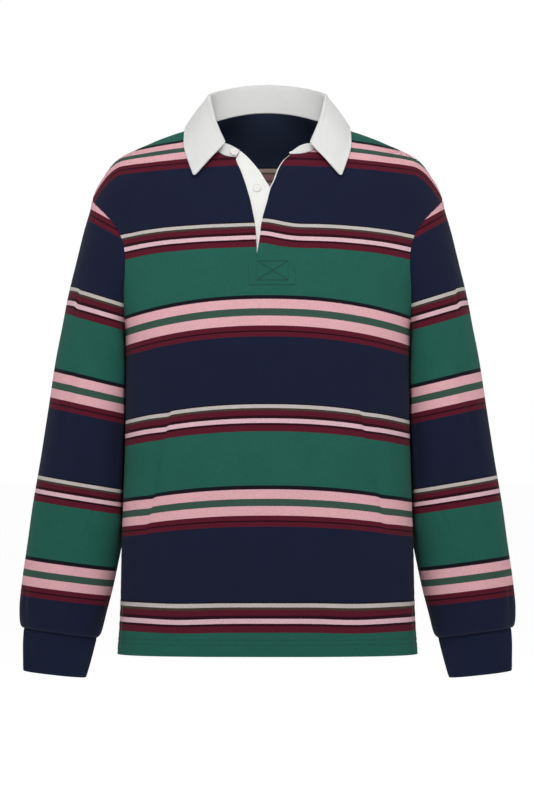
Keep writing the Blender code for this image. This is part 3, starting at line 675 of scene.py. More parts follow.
def panelSkin(points, row, share, side):
    # the panel's outer and inner skins, with its folds, hem, vents and seams
    normal = bodyNormal(points)
    edge = abs(share)
    fade = (1 - edge**6) * (1 - smoothstep((row - neckRow + 2) / 2))
    x, y, z = np.moveaxis(points, -1, 0)
    depth = clothDepth(x, z, side) * fade - hemRelief(z)
    pucker = np.sin(row * 21 + side) * np.sin(row * 8.3) * body["pucker"]
    seamNear = np.clip((edge - body["seamNear"]) / (1 - body["seamNear"]), 0, 1)
    depth = depth + pucker * seamNear * (1 - seamNear) * 4
    dip = np.clip((edge - body["dipStart"]) / (1 - body["dipStart"]), 0, 1)
    depth = depth + body["seamDip"] * dip
    skin = points - normal * depth[..., None]
    below = smoothstep((body["ventTop"] - z) / (body["ventTop"] - body["hemHeight"]))
    isSeam = (row <= sideRows) | (row >= armholeTop)
    pull = side * (body["seamGap"] / 2 + below * body["ventSpread"])
    pull = pull * np.clip((edge - 0.9) / 0.1, 0, 1) * isSeam
    shift = stacked(0.0, pull, 0.0)
    return skin + shift, skin - normal * body["cloth"] + shift


# where the stripes lie on the body, in the view from the front
bodyStripes = {
    "centre": (  # height of the middle of the front, metres of pattern above the hem
        (-0.7047, 0.0000), (-0.6696, 0.0330), (-0.6280, 0.0728), (-0.5275, 0.1730),
        (-0.4720, 0.2277), (-0.3999, 0.3006), (-0.3624, 0.3398), (-0.2740, 0.4398),
        (-0.2184, 0.4946), (-0.1546, 0.5680), (-0.1213, 0.6070), (-0.0443, 0.7070),
        (-0.0235, 0.7225), (-0.0090, 0.7360), (0.0170, 0.7620), (0.1000, 0.8500),
    ),
    # height, how far the stripes are lower at the side, how late they fall, their dip off the neck
    "drop": (
        (-0.7047, 0.0, 2.2, 0.0), (-0.6280, 0.0005, 2.2, 0.0), (-0.5290, 0.0148, 2.2, 0.0),
        (-0.4774, 0.0186, 2.2, 0.0), (-0.3800, 0.0216, 2.2, 0.0), (-0.2450, 0.0263, 2.2, 0.0),
        (-0.1970, 0.0263, 2.2, 0.0), (-0.1546, 0.0150, 3.0, 0.0), (-0.1213, 0.0126, 3.0, 0.0),
        (-0.0443, 0.0103, 2.2, 0.0), (-0.0235, 0.0113, 2.2, 0.0066), (-0.0090, 0.0145, 2.2, 0.0096),
        (0.0170, 0.0200, 2.2, 0.0173), (0.1000, 0.0300, 2.2, 0.0400),
    ),
    "halfWidth": 0.192, "dipStart": 0.066, "dipWidth": 0.050,
    "shoulderStart": 0.195, "shoulderFall": 20.0,
    # right and left of the slit: how far the stripes rise beside it, and their reach
    "slitLift": {-1: (0.0014, 0.030), 1: (0.0072, 0.030)},
    # heights where the rise starts and ends, each with its length
    "liftWindow": (-0.172, 0.030, -0.105, 0.040),
    # how far, then x and z of the middle, each with its reach
    "hemSag": (0.0022, 0.122, 0.045, -0.655, 0.030),
    "jogSharp": 0.0012, "jogReach": 0.020,
    "back": (  # the same at the middle of the back
        (-0.7020, 0.0000), (-0.6300, 0.0660), (-0.4500, 0.2310), (-0.2000, 0.4600),
        (-0.0380, 0.6070), (0.0300, 0.6900),
    ),
    "jogs": (  # a crease that takes up a little cloth: x and z at its top and bottom, and how much
        (-0.1240, -0.340, -0.1400, -0.425, 0.0018), (-0.1480, -0.455, -0.1650, -0.550, 0.0016),
        (0.1210, -0.340, 0.1340, -0.425, 0.0014), (0.1490, -0.455, 0.1580, -0.550, 0.0014),
    ),
}
centreStripes, stripeDrop = Curve(bodyStripes["centre"]), Curve(bodyStripes["drop"])
backStripes = Curve(bodyStripes["back"])


def stripeLift(x, z):
    # stripes rise towards the slit's edges, and sag a little beside the middle of the hem
    edges = slitCurve.read(z)
    right, left = [amount * np.exp(-(np.maximum(side * (x - edge), 0) / reach) ** 2)
                   for edge, (side, (amount, reach)) in zip(edges, bodyStripes["slitLift"].items())]
    start, startLength, end, endLength = bodyStripes["liftWindow"]
    window = smoothstep((z - start) / startLength) * (1 - smoothstep((z - end) / endLength))
    fall, sagX, reachX, sagZ, reachZ = bodyStripes["hemSag"]
    sag = fall * np.exp(-((abs(x) - sagX) / reachX) ** 2 - ((z - sagZ) / reachZ) ** 2)
    return window * np.where(x > (edges[0] + edges[1]) / 2, left, right) - sag


def frontStripe(x, z):
    wide = abs(x)
    dipping = smoothstep((wide - bodyStripes["dipStart"]) / bodyStripes["dipWidth"])
    falling = bodyStripes["shoulderFall"] * np.maximum(wide - bodyStripes["shoulderStart"], 0) ** 2
    height = z
    for again in range(30):
        drop, power, dip = stripeDrop.read(height)
        fall = drop * (wide / bodyStripes["halfWidth"]) ** power
        fall = fall + falling * smoothstep((height + 0.12) / 0.05)
        height = z + fall + dip * dipping - stripeLift(x, z)
    place = centreStripes.read(height)[0]
    for topX, topZ, bottomX, bottomZ, taken in bodyStripes["jogs"]:
        along = np.clip((topZ - z) / (topZ - bottomZ), 0, 1)
        past = (x - spread(topX, bottomX, along)) * math.copysign(1, topX)
        beyond = 0.5 + 0.5 * np.tanh(past / bodyStripes["jogSharp"])
        fade = np.exp(-(np.maximum(past, 0) / bodyStripes["jogReach"]) ** 2)
        place = place + taken * beyond * fade * np.sin(math.pi * along) ** 0.6
    return place


def backStripe(x, z, share):
    middle = backStripes.read(z)[0]
    return spread(middle, frontStripe(x, z), np.clip(abs(share), 0, 1) ** 3)


# lines of the mesh: close together in the hem and beside the slit and the seams
hemTop = 0.90
hemSteps = np.arange(0, hemTop, 0.036)
sideSteps = np.linspace(hemTop, sideRows, 92)
armholeSteps = np.linspace(sideRows, armholeTop, 56)  # 5 steps a row, so one lies on the slit's end
shoulderSteps = np.linspace(armholeTop, neckRow, 37)
bodySteps = np.concatenate([hemSteps, sideSteps, armholeSteps[1:], shoulderSteps[1:]])
halfShares = np.array([0, 0.002, 0.005, *np.linspace(0.01, 0.98, 88), 0.985, 0.99, 0.995, 1.0])


def makeFront():
    count = len(halfShares)
    row, share = np.meshgrid(bodySteps, halfShares, indexing="ij")
    grids = []
    for half in (-1, 1):
        points = frontPoint(row, share, half)
        outer, inner = panelSkin(points, row, share, -1)
        lie = stacked(half * arcLengths(outer, 1), arcLengths(outer, 0)[:, :1] + 0 * row)
        grids.append((outer, inner, lie, frontStripe(points[..., 0], points[..., 2])))
    joined = [np.concatenate(flattened(*pair)) for pair in zip(*grids)]
    quads = gridQuads(len(bodySteps), count)
    quads = np.vstack([quads, quads + row.size])
    # the halves share their middle line below the slit
    number = np.arange(2 * row.size)
    below = np.nonzero(bodySteps <= slitRow)[0] * count
    number[below + row.size] = below
    used, quads = usedOnly(number[quads])
    outer, inner, lie, stripe = [array[used] for array in joined]
    return shell("frontPanel", outer, inner, quads, jerseySides, lie, stripe)


def makeBack():
    shares = np.concatenate([-halfShares[:0:-1], [0.0], halfShares[1:]])
    row, share = np.meshgrid(bodySteps, shares, indexing="ij")
    points = backPoint(row, share)
    outer, inner = panelSkin(points, row, share, 1)
    across = arcLengths(outer, 1)
    middle = across[:, len(halfShares) - 1, None]
    lie = stacked(across - middle, arcLengths(outer, 0)[:, :1] + 0 * row)
    stripe = backStripe(points[..., 0], points[..., 2], share)
    outer, inner, lie, stripe = flattened(outer, inner, lie, stripe)
    return shell("backPanel", outer, inner, gridQuads(*row.shape), jerseySides, lie, stripe)


front = dress(makeFront(), "front")
back = dress(makeBack(), "back")

# Sleeves and cuffs
print("sleeves and cuffs")
sleeve = {
    "sections": (  # outer x and z, inner x and z, y of the middle, half depth, fullness
        (0.2378, -0.0870, 0.1930, -0.2750, 0.004, 0.070, 2.2),
        (0.2439, -0.1080, 0.1930, -0.2830, 0.008, 0.072, 2.2),
        (0.2560, -0.1525, 0.1880, -0.2980, 0.014, 0.072, 2.2),
        (0.2714, -0.2170, 0.1820, -0.3250, 0.021, 0.071, 2.2),
        (0.2824, -0.2710, 0.1800, -0.3550, 0.026, 0.069, 2.2),
        (0.2941, -0.3360, 0.1790, -0.3960, 0.029, 0.067, 2.2),
        (0.3038, -0.4010, 0.1800, -0.4430, 0.029, 0.064, 2.2),
        (0.3147, -0.4660, 0.1841, -0.4920, 0.026, 0.061, 2.2),
        (0.3243, -0.5305, 0.1960, -0.5480, 0.020, 0.057, 2.2),
        (0.3326, -0.5950, 0.2102, -0.6110, 0.012, 0.053, 2.25),
        (0.3373, -0.6370, 0.2202, -0.6520, 0.006, 0.049, 2.3),
        (0.3358, -0.6630, 0.2280, -0.6780, 0.003, 0.0445, 2.3),
        (0.3314, -0.6672, 0.2322, -0.6812, 0.002, 0.039, 2.3),
    ),
    "clearance": 0.0022, "softness": 0.0016,
    "folds": (  # start and end angle, start and end along the sleeve, half angle, depth, lean
        (1.05, 0.95, 0.20, 0.62, 0.16, 0.0030, 0.2),
        (1.75, 1.45, 0.42, 0.72, 0.15, 0.0026, -0.2),
        (-1.20, -1.05, 0.16, 0.60, 0.17, 0.0030, 0.2),
        (-1.90, -1.60, 0.50, 0.86, 0.16, 0.0024, 0.2),
        (0.45, 0.60, 0.70, 0.93, 0.13, 0.0020, 0.0),
        (0.80, 0.86, 0.16, 0.42, 0.06, 0.0012, 0.4),
        (1.95, 1.70, 0.55, 0.70, 0.05, 0.0013, -0.5),
        (1.70, 1.85, 0.72, 0.90, 0.06, 0.0012, 0.4),
        (2.35, 2.10, 0.30, 0.62, 0.12, 0.0016, 0.2),
        (1.35, 1.20, 0.76, 0.97, 0.10, 0.0011, 0.2),
        (-2.30, -2.10, 0.28, 0.58, 0.12, 0.0018, 0.2),
        (-1.35, -1.55, 0.66, 0.94, 0.10, 0.0014, -0.3),
        (-0.60, -0.50, 0.40, 0.78, 0.14, 0.0013, 0.2),
    ),
    "rings": 142, "lastRings": 9, "lastStart": 0.972, "crowding": 1.15, "sides": 198,
    "seamGap": 0.00005, "ripple": 0.0005, "pucker": 0.00035, "gather": 0.0007,
    "flatAround": 0.075,  # metres of flat cloth for each radian round the sleeve
    "tilt": (  # height at the outer side, how steeply the stripes fall towards the body
        (-0.7400, 0.10), (-0.5740, 0.13), (-0.4590, 0.165), (-0.3190, 0.23), (-0.2090, 0.29),
        (-0.1400, 0.45), (-0.0800, 0.52),
    ),
    "stripes": (  # height at the outer side, metres of pattern
        (-0.7400, 0.0450), (-0.6629, 0.1310), (-0.6232, 0.1730), (-0.5690, 0.2277),
        (-0.4948, 0.3006), (-0.4590, 0.3398), (-0.3692, 0.4398), (-0.3146, 0.4946),
        (-0.2417, 0.5676), (-0.2036, 0.6070), (-0.1148, 0.7070), (-0.0986, 0.7225),
        (-0.0878, 0.7360), (-0.0743, 0.7520),
    ),
    "jogAngle": 0.78, "jog": -0.0025, "jogHeight": -0.222, "jogReach": 0.020,
    "topstitch": 0.0052, "topstitchDip": 0.0006, "topstitchWidth": 0.0014, "length": 0.62,
}
cuff = {
    "sections": (
        (0.3312, -0.6672, 0.2322, -0.6812, 0.002, 0.039, 2.3),
        (0.3322, -0.6930, 0.2378, -0.7040, 0.000, 0.037, 2.3),
        (0.3320, -0.7250, 0.2465, -0.7345, -0.003, 0.034, 2.3),
    ),
    "ribs": 112, "ribHeight": 0.00028, "steps": 5, "rows": 26,
    "seamRoll": 0.0007, "mouthRoll": 0.0004, "softness": 0.0006, "around": 0.26, "length": 0.06,
}
sleeveCurve, cuffCurve = evenly(sleeve["sections"]), evenly(cuff["sections"])
sleeveStripes, sleeveTilt = Curve(sleeve["stripes"]), Curve(sleeve["tilt"])


def ringPoint(curve, along, angle):
    # angle 0 is the outer side, a quarter turn is the front
    outerX, outerZ, innerX, innerZ, middleY, halfDepth, fullness = curve.read(along)
    out = np.sign(np.cos(angle)) * abs(np.cos(angle)) ** (2 / fullness)
    forward = np.sign(np.sin(angle)) * abs(np.sin(angle)) ** (2 / fullness)
    x = (outerX + innerX) / 2 + (outerX - innerX) / 2 * out
    z = (outerZ + innerZ) / 2 + (outerZ - innerZ) / 2 * out
    return stacked(x, middleY - halfDepth * forward, z)


def armholeLoop(angle):
    # from the shoulder point down the front to the underarm and up the back
    frontRow = armholeRows * (1 - angle / math.pi)
    backRow = armholeRows * (angle / math.pi - 1)
    inFront = (angle < math.pi)[..., None]
    return np.where(inFront, armholePoint(frontRow, -1), armholePoint(backRow, 1))


def pushedOffBody(points, clearance):
    limit = bodyX(points[..., 1], points[..., 2]) + clearance
    over = (points[..., 0] - limit) / sleeve["softness"]
    eased = np.where(over > 30, over, np.log1p(np.exp(np.minimum(over, 30))))
    return stacked(limit + sleeve["softness"] * eased, points[..., 1], points[..., 2])


def sleevePoint(along, angle):
    loop = armholeLoop(angle)
    near = (1 - smoothstep(along / 0.22))[..., None]
    offset = loop - ringPoint(sleeveCurve, 0 * along, angle)
    points = ringPoint(sleeveCurve, along, angle) + near * offset
    pushed = pushedOffBody(points, sleeve["clearance"] * smoothstep(along / 0.12))
    lower = ((points[..., 2] < body["shoulderPoint"]) & (along > 0))[..., None]
    return np.where(lower, pushed, points)


def sleeveFold(along, angle):
    total = np.zeros(np.broadcast(along, angle).shape)
    for startAngle, endAngle, start, end, halfAngle, depth, lean in sleeve["folds"]:
        share = np.clip((along - start) / (end - start), 0, 1)
        away = (angle - spread(startAngle, endAngle, share) + math.pi) % (2 * math.pi) - math.pi
        away = away / halfAngle
        trough = np.exp(-(away**2)) - abs(lean) * np.exp(-((away - math.copysign(1.6, lean)) ** 2))
        total += depth * trough * np.sin(math.pi * share) ** 2
    return total


def sleeveStripe(points, along, angle):
    x, y, z = np.moveaxis(points, -1, 0)
    heights = np.array([row[1] for row in sleeve["sections"]])[::-1]
    outers = np.array([row[0] for row in sleeve["sections"]])[::-1]
    away = np.maximum(np.interp(z, heights, outers) - x, 0)
    height = z
    for again in range(4):
        height = z + sleeveTilt.read(height)[0] * away
    place = sleeveStripes.read(height)[0]
    turn = (angle + math.pi) % (2 * math.pi) - math.pi
    past = sleeve["jogAngle"] - turn
    beyond = 0.5 + 0.5 * np.tanh(past / 0.02)
    window = np.exp(-((z - sleeve["jogHeight"]) / sleeve["jogReach"]) ** 2)
    return place + sleeve["jog"] * beyond * window * np.exp(-(np.maximum(past, 0) / 0.7) ** 2)


def makeSleeve(name, side):
    first = (np.arange(sleeve["rings"]) / sleeve["rings"]) ** sleeve["crowding"]
    last = np.linspace(sleeve["lastStart"], 1.0, sleeve["lastRings"])
    steps = np.concatenate([first * sleeve["lastStart"], last])
    angles = np.arange(sleeve["sides"]) * 2 * math.pi / sleeve["sides"]
    along, angle = np.meshgrid(steps, angles, indexing="ij")
    grid = sleevePoint(along, angle)
    loop = grid[0].copy()
    normal = bodyNormal(loop)
    away = unit(np.cross(normal, np.roll(loop, -1, 0) - np.roll(loop, 1, 0)))
    normals = gridNormals(grid, wrap=True)
    normals *= np.sign(normals[:, 0, 0].sum())
    stripe = sleeveStripe(grid, along, angle)
    ripple = np.sin(angle * 5 + along * 19) * np.sin(along * 31 - angle * 3) * sleeve["ripple"]
    pucker = np.sin(angle * 37) * np.sin(angle * 15 + 1) * sleeve["pucker"]
    pucker = pucker * np.exp(-((along - 0.018) / 0.012) ** 2)
    gather = np.sin(angle * 29 + 0.6) * np.sin(angle * 11) * sleeve["gather"]
    gather = gather * smoothstep((along - 0.93) / 0.06) * (1 - smoothstep((along - 0.985) / 0.015))
    ends = smoothstep(along / 0.05) * (1 - smoothstep((along - 0.97) / 0.03))
    depth = (sleeveFold(along, angle) + ripple) * ends + pucker + gather
    depth = depth + body["seamDip"] * (1 - smoothstep(along / 0.006))
    fromLine = (1 - along) * sleeve["length"] - sleeve["topstitch"]
    depth = depth + sleeve["topstitchDip"] * np.exp(-(fromLine / sleeve["topstitchWidth"]) ** 2)
    grid = grid - normals * depth[..., None]
    # the sewn edge dips with the body's edge, so nothing shows between the two
    grid[0] = loop + away * sleeve["seamGap"] - normal * body["seamDip"]
    mirror = np.array([side, 1, 1])
    outer, inner = grid * mirror, (grid - normals * body["cloth"]) * mirror
    run = arcLengths(grid, 0)
    lie = stacked(angle * sleeve["flatAround"], run[:, :1] + 0 * along)
    outer, inner, lie, stripe = flattened(outer, inner, lie, stripe)
    quads = gridQuads(*along.shape, wrap=True)
    made = shell(name, outer, inner, quads, jerseySides, lie, stripe)
    # topstitching just above the cuff's seam
    place = np.interp(run[-1, 0] - sleeve["topstitch"], run[:, 0], steps)
    line = np.argmin(abs(steps - place))
    ring, facing = grid[line] * mirror, normals[line] * mirror
    ring, facing = np.vstack([ring, ring[:1]]), np.vstack([facing, facing[:1]])
    return made, stitchRows(name + "Topstitch", [(ring, facing)], sewn["dark"], thick=0.00048)


def makeCuff(name, side):
    sides = cuff["ribs"] * cuff["steps"]
    steps = np.linspace(0, 1, cuff["rows"])
    angles = np.arange(sides) * 2 * math.pi / sides
    along, angle = np.meshgrid(steps, angles, indexing="ij")
    grid = ringPoint(cuffCurve, along, angle)
    grid[0] += body["layerGap"] * unit(grid[1] - grid[0])
    # even ribs need even steps round the cuff
    run = np.linalg.norm(np.roll(grid, -1, 1) - grid, axis=-1)
    rounds = np.cumsum(run, 1) - run
    share = rounds / (rounds[:, -1:] + run[:, -1:])
    normals = gridNormals(grid, wrap=True)
    normals *= np.sign(normals[:, 0, 0].sum())
    ribs = np.cos(share * 2 * math.pi * cuff["ribs"]) * cuff["ribHeight"]
    rolled = cuff["seamRoll"] * np.exp(-(along / 0.05) ** 2)
    rolled = rolled + cuff["mouthRoll"] * smoothstep((along - 0.93) / 0.07)
    soft = np.sin(angle * 3 + along * 4) * cuff["softness"] * along * (1 - along)
    grid = grid + normals * (ribs - rolled + soft)[..., None]
    mirror = np.array([side, 1, 1])
    outer, inner = grid * mirror, (grid - normals * body["cloth"]) * mirror
    lie = stacked(share * cuff["around"], along * cuff["length"])
    outer, inner, lie = flattened(outer, inner, lie)
    return shell(name, outer, inner, gridQuads(*along.shape, wrap=True), ribSides, lie)


sleeves, cuffs = {}, {}
for hand, side in (("left", 1), ("right", -1)):
    named = hand.capitalize()
    sleeves[hand], topstitch = makeSleeve("sleeve" + named, side)
    dress(sleeves[hand], "sleeve_" + hand)
    dress(topstitch)
    cuffs[hand] = dress(makeCuff("cuff" + named, side), "cuff_" + hand)

# Collar
print("collar")
collar = {
    "stations": (  # round the neck, roll x y z, free edge x y z, how straight the fall hangs
        (0.00, 0.0000, 0.0660, 0.0755, 0.0000, 0.0820, 0.0105, 0.0),
        (0.35, 0.0310, 0.0615, 0.0735, 0.0420, 0.0765, 0.0105, 0.1),
        (0.70, 0.0600, 0.0410, 0.0670, 0.0840, 0.0540, 0.0120, 0.6),
        (1.00, 0.0765, 0.0060, 0.0560, 0.1120, 0.0080, 0.0135, 1.0),
        (1.25, 0.0712, -0.0300, 0.0300, 0.1130, -0.0380, -0.0110, 1.0),
        (1.50, 0.0562, -0.0590, -0.0092, 0.0995, -0.0850, -0.0567, 1.0),
    ),
    "standEnds": {-1: (-0.0370, -0.0545, -0.0200), 1: (0.0300, -0.0575, -0.0234)},
    "standBows": {-1: 0.0012, 1: 0.0036},  # how far the stand's top line bows up past the leaf
    "rollRadius": 0.0032, "cloth": 0.0020, "seamGap": 0.0009, "clearance": 0.0014,
    "belly": 0.003, "hang": 0.30, "soft": 0.0005,
    "columns": 240, "tipColumns": 12, "tipWidth": 0.30, "tipReach": 0.0080, "tipRadius": 0.0060,
    "standRows": 8, "rollRows": 10, "fallRows": 34,
}
collarCurve = Curve(collar["stations"])
leafEnd = 1.5


def necklinePoint(column):
    # 0 is the wearer's right front end, 20 the back and 40 the left front end
    right = frontPoint(neckRow, np.clip(column / 10, 0, 1), -1)
    left = frontPoint(neckRow, np.clip((40 - column) / 10, 0, 1), 1)
    behind = backPoint(neckRow, np.clip((column - 20) / 10, -1, 1))
    column = column[..., None]
    return np.where(column < 10, right, np.where(column <= 30, behind, left))


def collarGrid(column):
    half = np.where(column < 20, -1.0, 1.0)[:, None]
    seam = necklinePoint(column)
    normal = bodyNormal(seam)
    inwards = unit(stacked(-seam[:, 0], 0.004 - seam[:, 1], 0.0))
    upwards = unit(np.cross(normal, np.cross(inwards + np.array([0, 0, 1]), normal)))
    seam = seam + upwards * collar["seamGap"] + inwards * collar["cloth"]
    rounds = abs(column - 20) / 10
    stations = collarCurve.read(np.minimum(rounds, leafEnd))
    roll, edge, straight = stacked(*stations[:3]), stacked(*stations[3:6]), stations[6][:, None]
    roll[:, 0] *= half[:, 0]
    edge[:, 0] *= half[:, 0]
    ends = np.where(half < 0, collar["standEnds"][-1], collar["standEnds"][1])
    bows = np.where(half[:, 0] < 0, collar["standBows"][-1], collar["standBows"][1])
    beyond = np.clip((rounds - leafEnd) / (2 - leafEnd), 0, 1)
    roll = spread(roll, ends, beyond[:, None])
    roll[:, 2] += bows * np.sin(math.pi * beyond)
    up = unit(roll - seam)
    out = unit((edge - seam) - up * dot(edge - seam, up))
    radius = collar["rollRadius"]
    standTop = roll - up * radius
    rows = [spread(seam, standTop, i / collar["standRows"]) for i in range(collar["standRows"] + 1)]
    for i in range(1, collar["rollRows"] + 1):
        turn = math.pi * i / collar["rollRows"]
        rows.append(standTop + out * radius + radius * (up * math.sin(turn) - out * math.cos(turn)))
    start = rows[-1]
    length = np.linalg.norm(edge - start, axis=1)
    hanging = start - up * length[:, None] * collar["hang"] + out * 0.002
    bend = spread(hanging, (start + edge) / 2 + out * collar["belly"], straight)
    # each leaf's tip is turned a little round
    radius = collar["tipRadius"]
    fromEnd = np.clip(leafEnd - rounds, 0, 1) / collar["tipWidth"] * 10 * collar["tipReach"]
    short = radius - np.sqrt(np.maximum(radius**2 - np.maximum(radius - fromEnd, 0) ** 2, 0))
    reach = (1 - short / length)[:, None]
    for i in range(1, collar["fallRows"] + 1):
        t = i / collar["fallRows"] * reach
        point = start * (1 - t) ** 2 + bend * 2 * t * (1 - t) + edge * t * t
        need = collar["cloth"] + collar["clearance"] * smoothstep(t / 0.5)
        lift = np.maximum(need[:, 0] - bodyDistance(point), 0)[:, None]
        soft = np.sin(column[:, None] * 0.9 + t * 3) * collar["soft"] * np.sin(math.pi * t) ** 2
        rows.append(point + bodyNormal(point) * (lift + np.maximum(soft, 0)))
    return np.array(rows)


def makeCollar():
    column = np.arange(collar["columns"] + 1) * 40 / collar["columns"]
    nearTip = np.linspace(0, collar["tipWidth"], collar["tipColumns"])
    column = np.unique(np.round(np.concatenate([column, 5 + nearTip, 35 - nearTip]), 5))
    grid = collarGrid(column)
    standRows = collar["standRows"]
    inLeaf = (abs(column - 20) <= 15 + 1e-9)
    first, last = np.nonzero(inLeaf)[0][[0, -1]]
    normals = np.zeros_like(grid)
    normals[:standRows + 1] = gridNormals(grid[:standRows + 1])
    leaf = gridNormals(grid[:, first:last + 1])
    normals[standRows:, first:last + 1] = leaf[standRows:]
    normals *= -np.sign(normals[1, len(column) // 2, 1])
    run = arcLengths(grid, 0)
    lie = stacked(column * 0.0115 + 0 * run, run)
    quads = gridQuads(*run.shape)
    i, j = np.divmod(quads[:, 0], len(column))
    quads = quads[(i < standRows) | ((j >= first) & (j < last))]
    used, quads = usedOnly(quads)
    outer = grid.reshape(-1, 3)[used]
    inner = outer - normals.reshape(-1, 3)[used] * collar["cloth"]
    return shell("collarPiece", outer, inner, quads, [twill, twill], lie.reshape(-1, 2)[used])


collarPiece = dress(makeCollar(), "collar")

# Placket: button stand, facing, buttons
print("placket")
placket = {
    "facingCloth": 0.0011, "facingShow": 0.0022, "facingWidth": 0.030, "facingTop": -0.0266,
    "tuck": 0.008, "standTops": (-0.0345, -0.0205), "endHeight": -0.199,
    "rows": 72, "columns": 26, "facingColumns": 12,
    "edgeStitch": 0.0040, "stitchDip": 0.0005, "stitchWidth": 0.0016, "stitchRows": (2, 50),
}
button = {
    "radius": 0.0056, "thick": 0.0024, "lift": 0.0005, "lowerPlace": (-0.0142, -0.0729),
    # share of the radius and of the thickness, from the back's rim to the front's middle
    "profile": (
        (0.80, 0.0), (0.95, 0.10), (1.0, 0.30), (1.0, 0.70), (0.96, 0.90), (0.87, 1.0),
        (0.78, 0.97), (0.70, 0.82), (0.62, 0.74), (0.30, 0.72),
    ),
    "middle": 0.72, "threadHeight": 0.76, "sides": 48,
    "hole": 0.0006, "holeSides": 14, "holeOut": 0.00155,
}


def onFront(x, z, depth=0.0):
    # a place on the front's skin, or under it, and the way it faces
    x, z = np.broadcast_arrays(np.asarray(x, float), np.asarray(z, float))
    points = stacked(x, bodyY(x, z, -1), z)
    normal = bodyNormal(points)
    return points - normal * (depth + clothDepth(x, z, -1))[..., None], normal


def underlapDepth(x, left, z):
    gap = body["layerGap"]
    facingEdge = slitCurve.read(z)[1] - placket["facingShow"] - gap * 4
    behind = smoothstep((x - left) / (facingEdge - left))
    return body["cloth"] + gap + (placket["facingCloth"] + 2 * gap) * behind


def stripShares(columns):
    shares = np.linspace(0, 1, placket["rows"] + 1), np.linspace(0, 1, columns + 1)
    return np.meshgrid(*shares, indexing="ij")


def strip(name, grid):
    normals = gridNormals(grid)
    normals *= -np.sign(normals[..., 1].sum())
    inner = grid - normals * placket["facingCloth"]
    outer, inner, lie = flattened(grid, inner, stacked(arcLengths(grid, 1), arcLengths(grid, 0)))
    quads = gridQuads(*grid.shape[:2])
    return shell(name, outer, inner, quads, [stripTwill, stripTwill], lie), normals


def makeUnderlap():
    share, across = stripShares(placket["columns"])
    leftZ = spread(placket["standTops"][0], placket["endHeight"], share)
    rightZ = spread(placket["standTops"][1], placket["endHeight"], share**1.1)
    left = slitCurve.read(leftZ)[0] - placket["tuck"] * smoothstep(share / 0.1) - 0.001
    right = slitCurve.read(rightZ)[2]
    x, z = spread(left, right, across), spread(leftZ, rightZ, across)
    fromEdge = right - x
    away = (fromEdge - placket["edgeStitch"]) / placket["stitchWidth"]
    groove = placket["stitchDip"] * np.exp(-(away**2))
    grid = onFront(x, z, underlapDepth(x, left, rightZ) + groove)[0]
    made, normals = strip("placketButtonStand", grid)
    # edge stitching beside the free edge
    first, last = placket["stitchRows"]
    line = [[np.interp(-placket["edgeStitch"], -fromEdge[i], grid[i, :, k]) for k in range(3)]
            for i in range(first, last)]
    lines = [(np.array(line), normals[first:last, -3])]
    return made, stitchRows("buttonStandStitch", lines, sewn["white"], thick=0.00022)


def makeFacing():
    share, across = stripShares(placket["facingColumns"])
    z = spread(placket["facingTop"], placket["endHeight"], share)
    x = slitCurve.read(z)[1] - placket["facingShow"] + placket["facingWidth"] * across
    return strip("placketFacing", onFront(x, z, body["cloth"] + body["layerGap"])[0])[0]


def makeButton(name, seat, facing):
    # a turned disc with a rim, a dished middle and four holes
    facing = unit(facing)
    across = unit(np.cross(facing, (0, 0, 1)))
    upright = np.cross(across, facing)
    base = seat + facing * body["seamGap"]
    high = facing * button["thick"]
    sides, rings = button["sides"], button["profile"]
    angles = np.arange(sides) * 2 * math.pi / sides
    spokes = across * np.cos(angles)[:, None] + upright * np.sin(angles)[:, None]
    points = [base + spokes * button["radius"] * r + high * h for r, h in rings]
    points = np.vstack([*points, base, base + high * button["middle"]])
    faces = [tuple(quad) for quad in gridQuads(len(rings), sides, wrap=True)]
    last = (len(rings) - 1) * sides
    for k in range(sides):
        n = (k + 1) % sides
        faces.append((n, k, len(points) - 2))
        faces.append((last + k, last + n, len(points) - 1))
    made = addObject(name, points, faces, [resin])
    out = button["holeOut"] / math.sqrt(2)
    corners = [(across * a + upright * b) * out for a in (-1, 1) for b in (-1, 1)]
    cutPoints, cutFaces, sides = [], [], button["holeSides"]
    for corner in corners:
        start = len(cutPoints)
        for height in (-0.001, button["thick"] + 0.001):
            for k in range(sides):
                a = 2 * math.pi * k / sides
                spoke = across * math.cos(a) + upright * math.sin(a)
                cutPoints.append(base + corner + spoke * button["hole"] + facing * height)
        for k in range(sides):
            n = (k + 1) % sides
            cutFaces.append((start + k, start + n, start + sides + n, start + sides + k))
        cutFaces.append(tuple(start + k for k in reversed(range(sides))))
        cutFaces.append(tuple(start + sides + k for k in range(sides)))
    cutter = addObject(name + "Cutter", np.array(cutPoints), cutFaces, [resin])
    cut = made.modifiers.new("holes", "BOOLEAN")
    cut.operation, cut.solver, cut.object = "DIFFERENCE", "EXACT", cutter
    graph = bpy.context.evaluated_depsgraph_get()
    drilled = bpy.data.meshes.new_from_object(made.evaluated_get(graph))
    made.modifiers.clear()
    made.data = drilled
    drilled.set_sharp_from_angle(angle=math.radians(40))
    bpy.data.objects.remove(cutter)
    top = base + high * button["threadHeight"]
    lines = []
    for a, b in ((corners[0], corners[3]), (corners[1], corners[2])):
        lines.append((np.array([top + a, top + (a + b) / 2, top + b]), np.array([facing] * 3)))
    return made, stitchRows(name + "Thread", lines, sewn["white"], 0.0031, 0.0030, 0.0003)


def standSeat():
    # a place on the stand's outer side, between a third and two thirds of its height
    here = collarGrid(np.array([1.0, 2.0]))
    low, high = [spread(here[0], here[collar["standRows"]], share) for share in (1 / 3, 2 / 3)]
    facing = unit(np.cross(low[1] - low[0], high[0] - low[0]))
    facing = facing if facing[1] < 0 else -facing
    return spread(low[0], high[0], 0.3) + facing * (collar["cloth"] + button["lift"]), facing


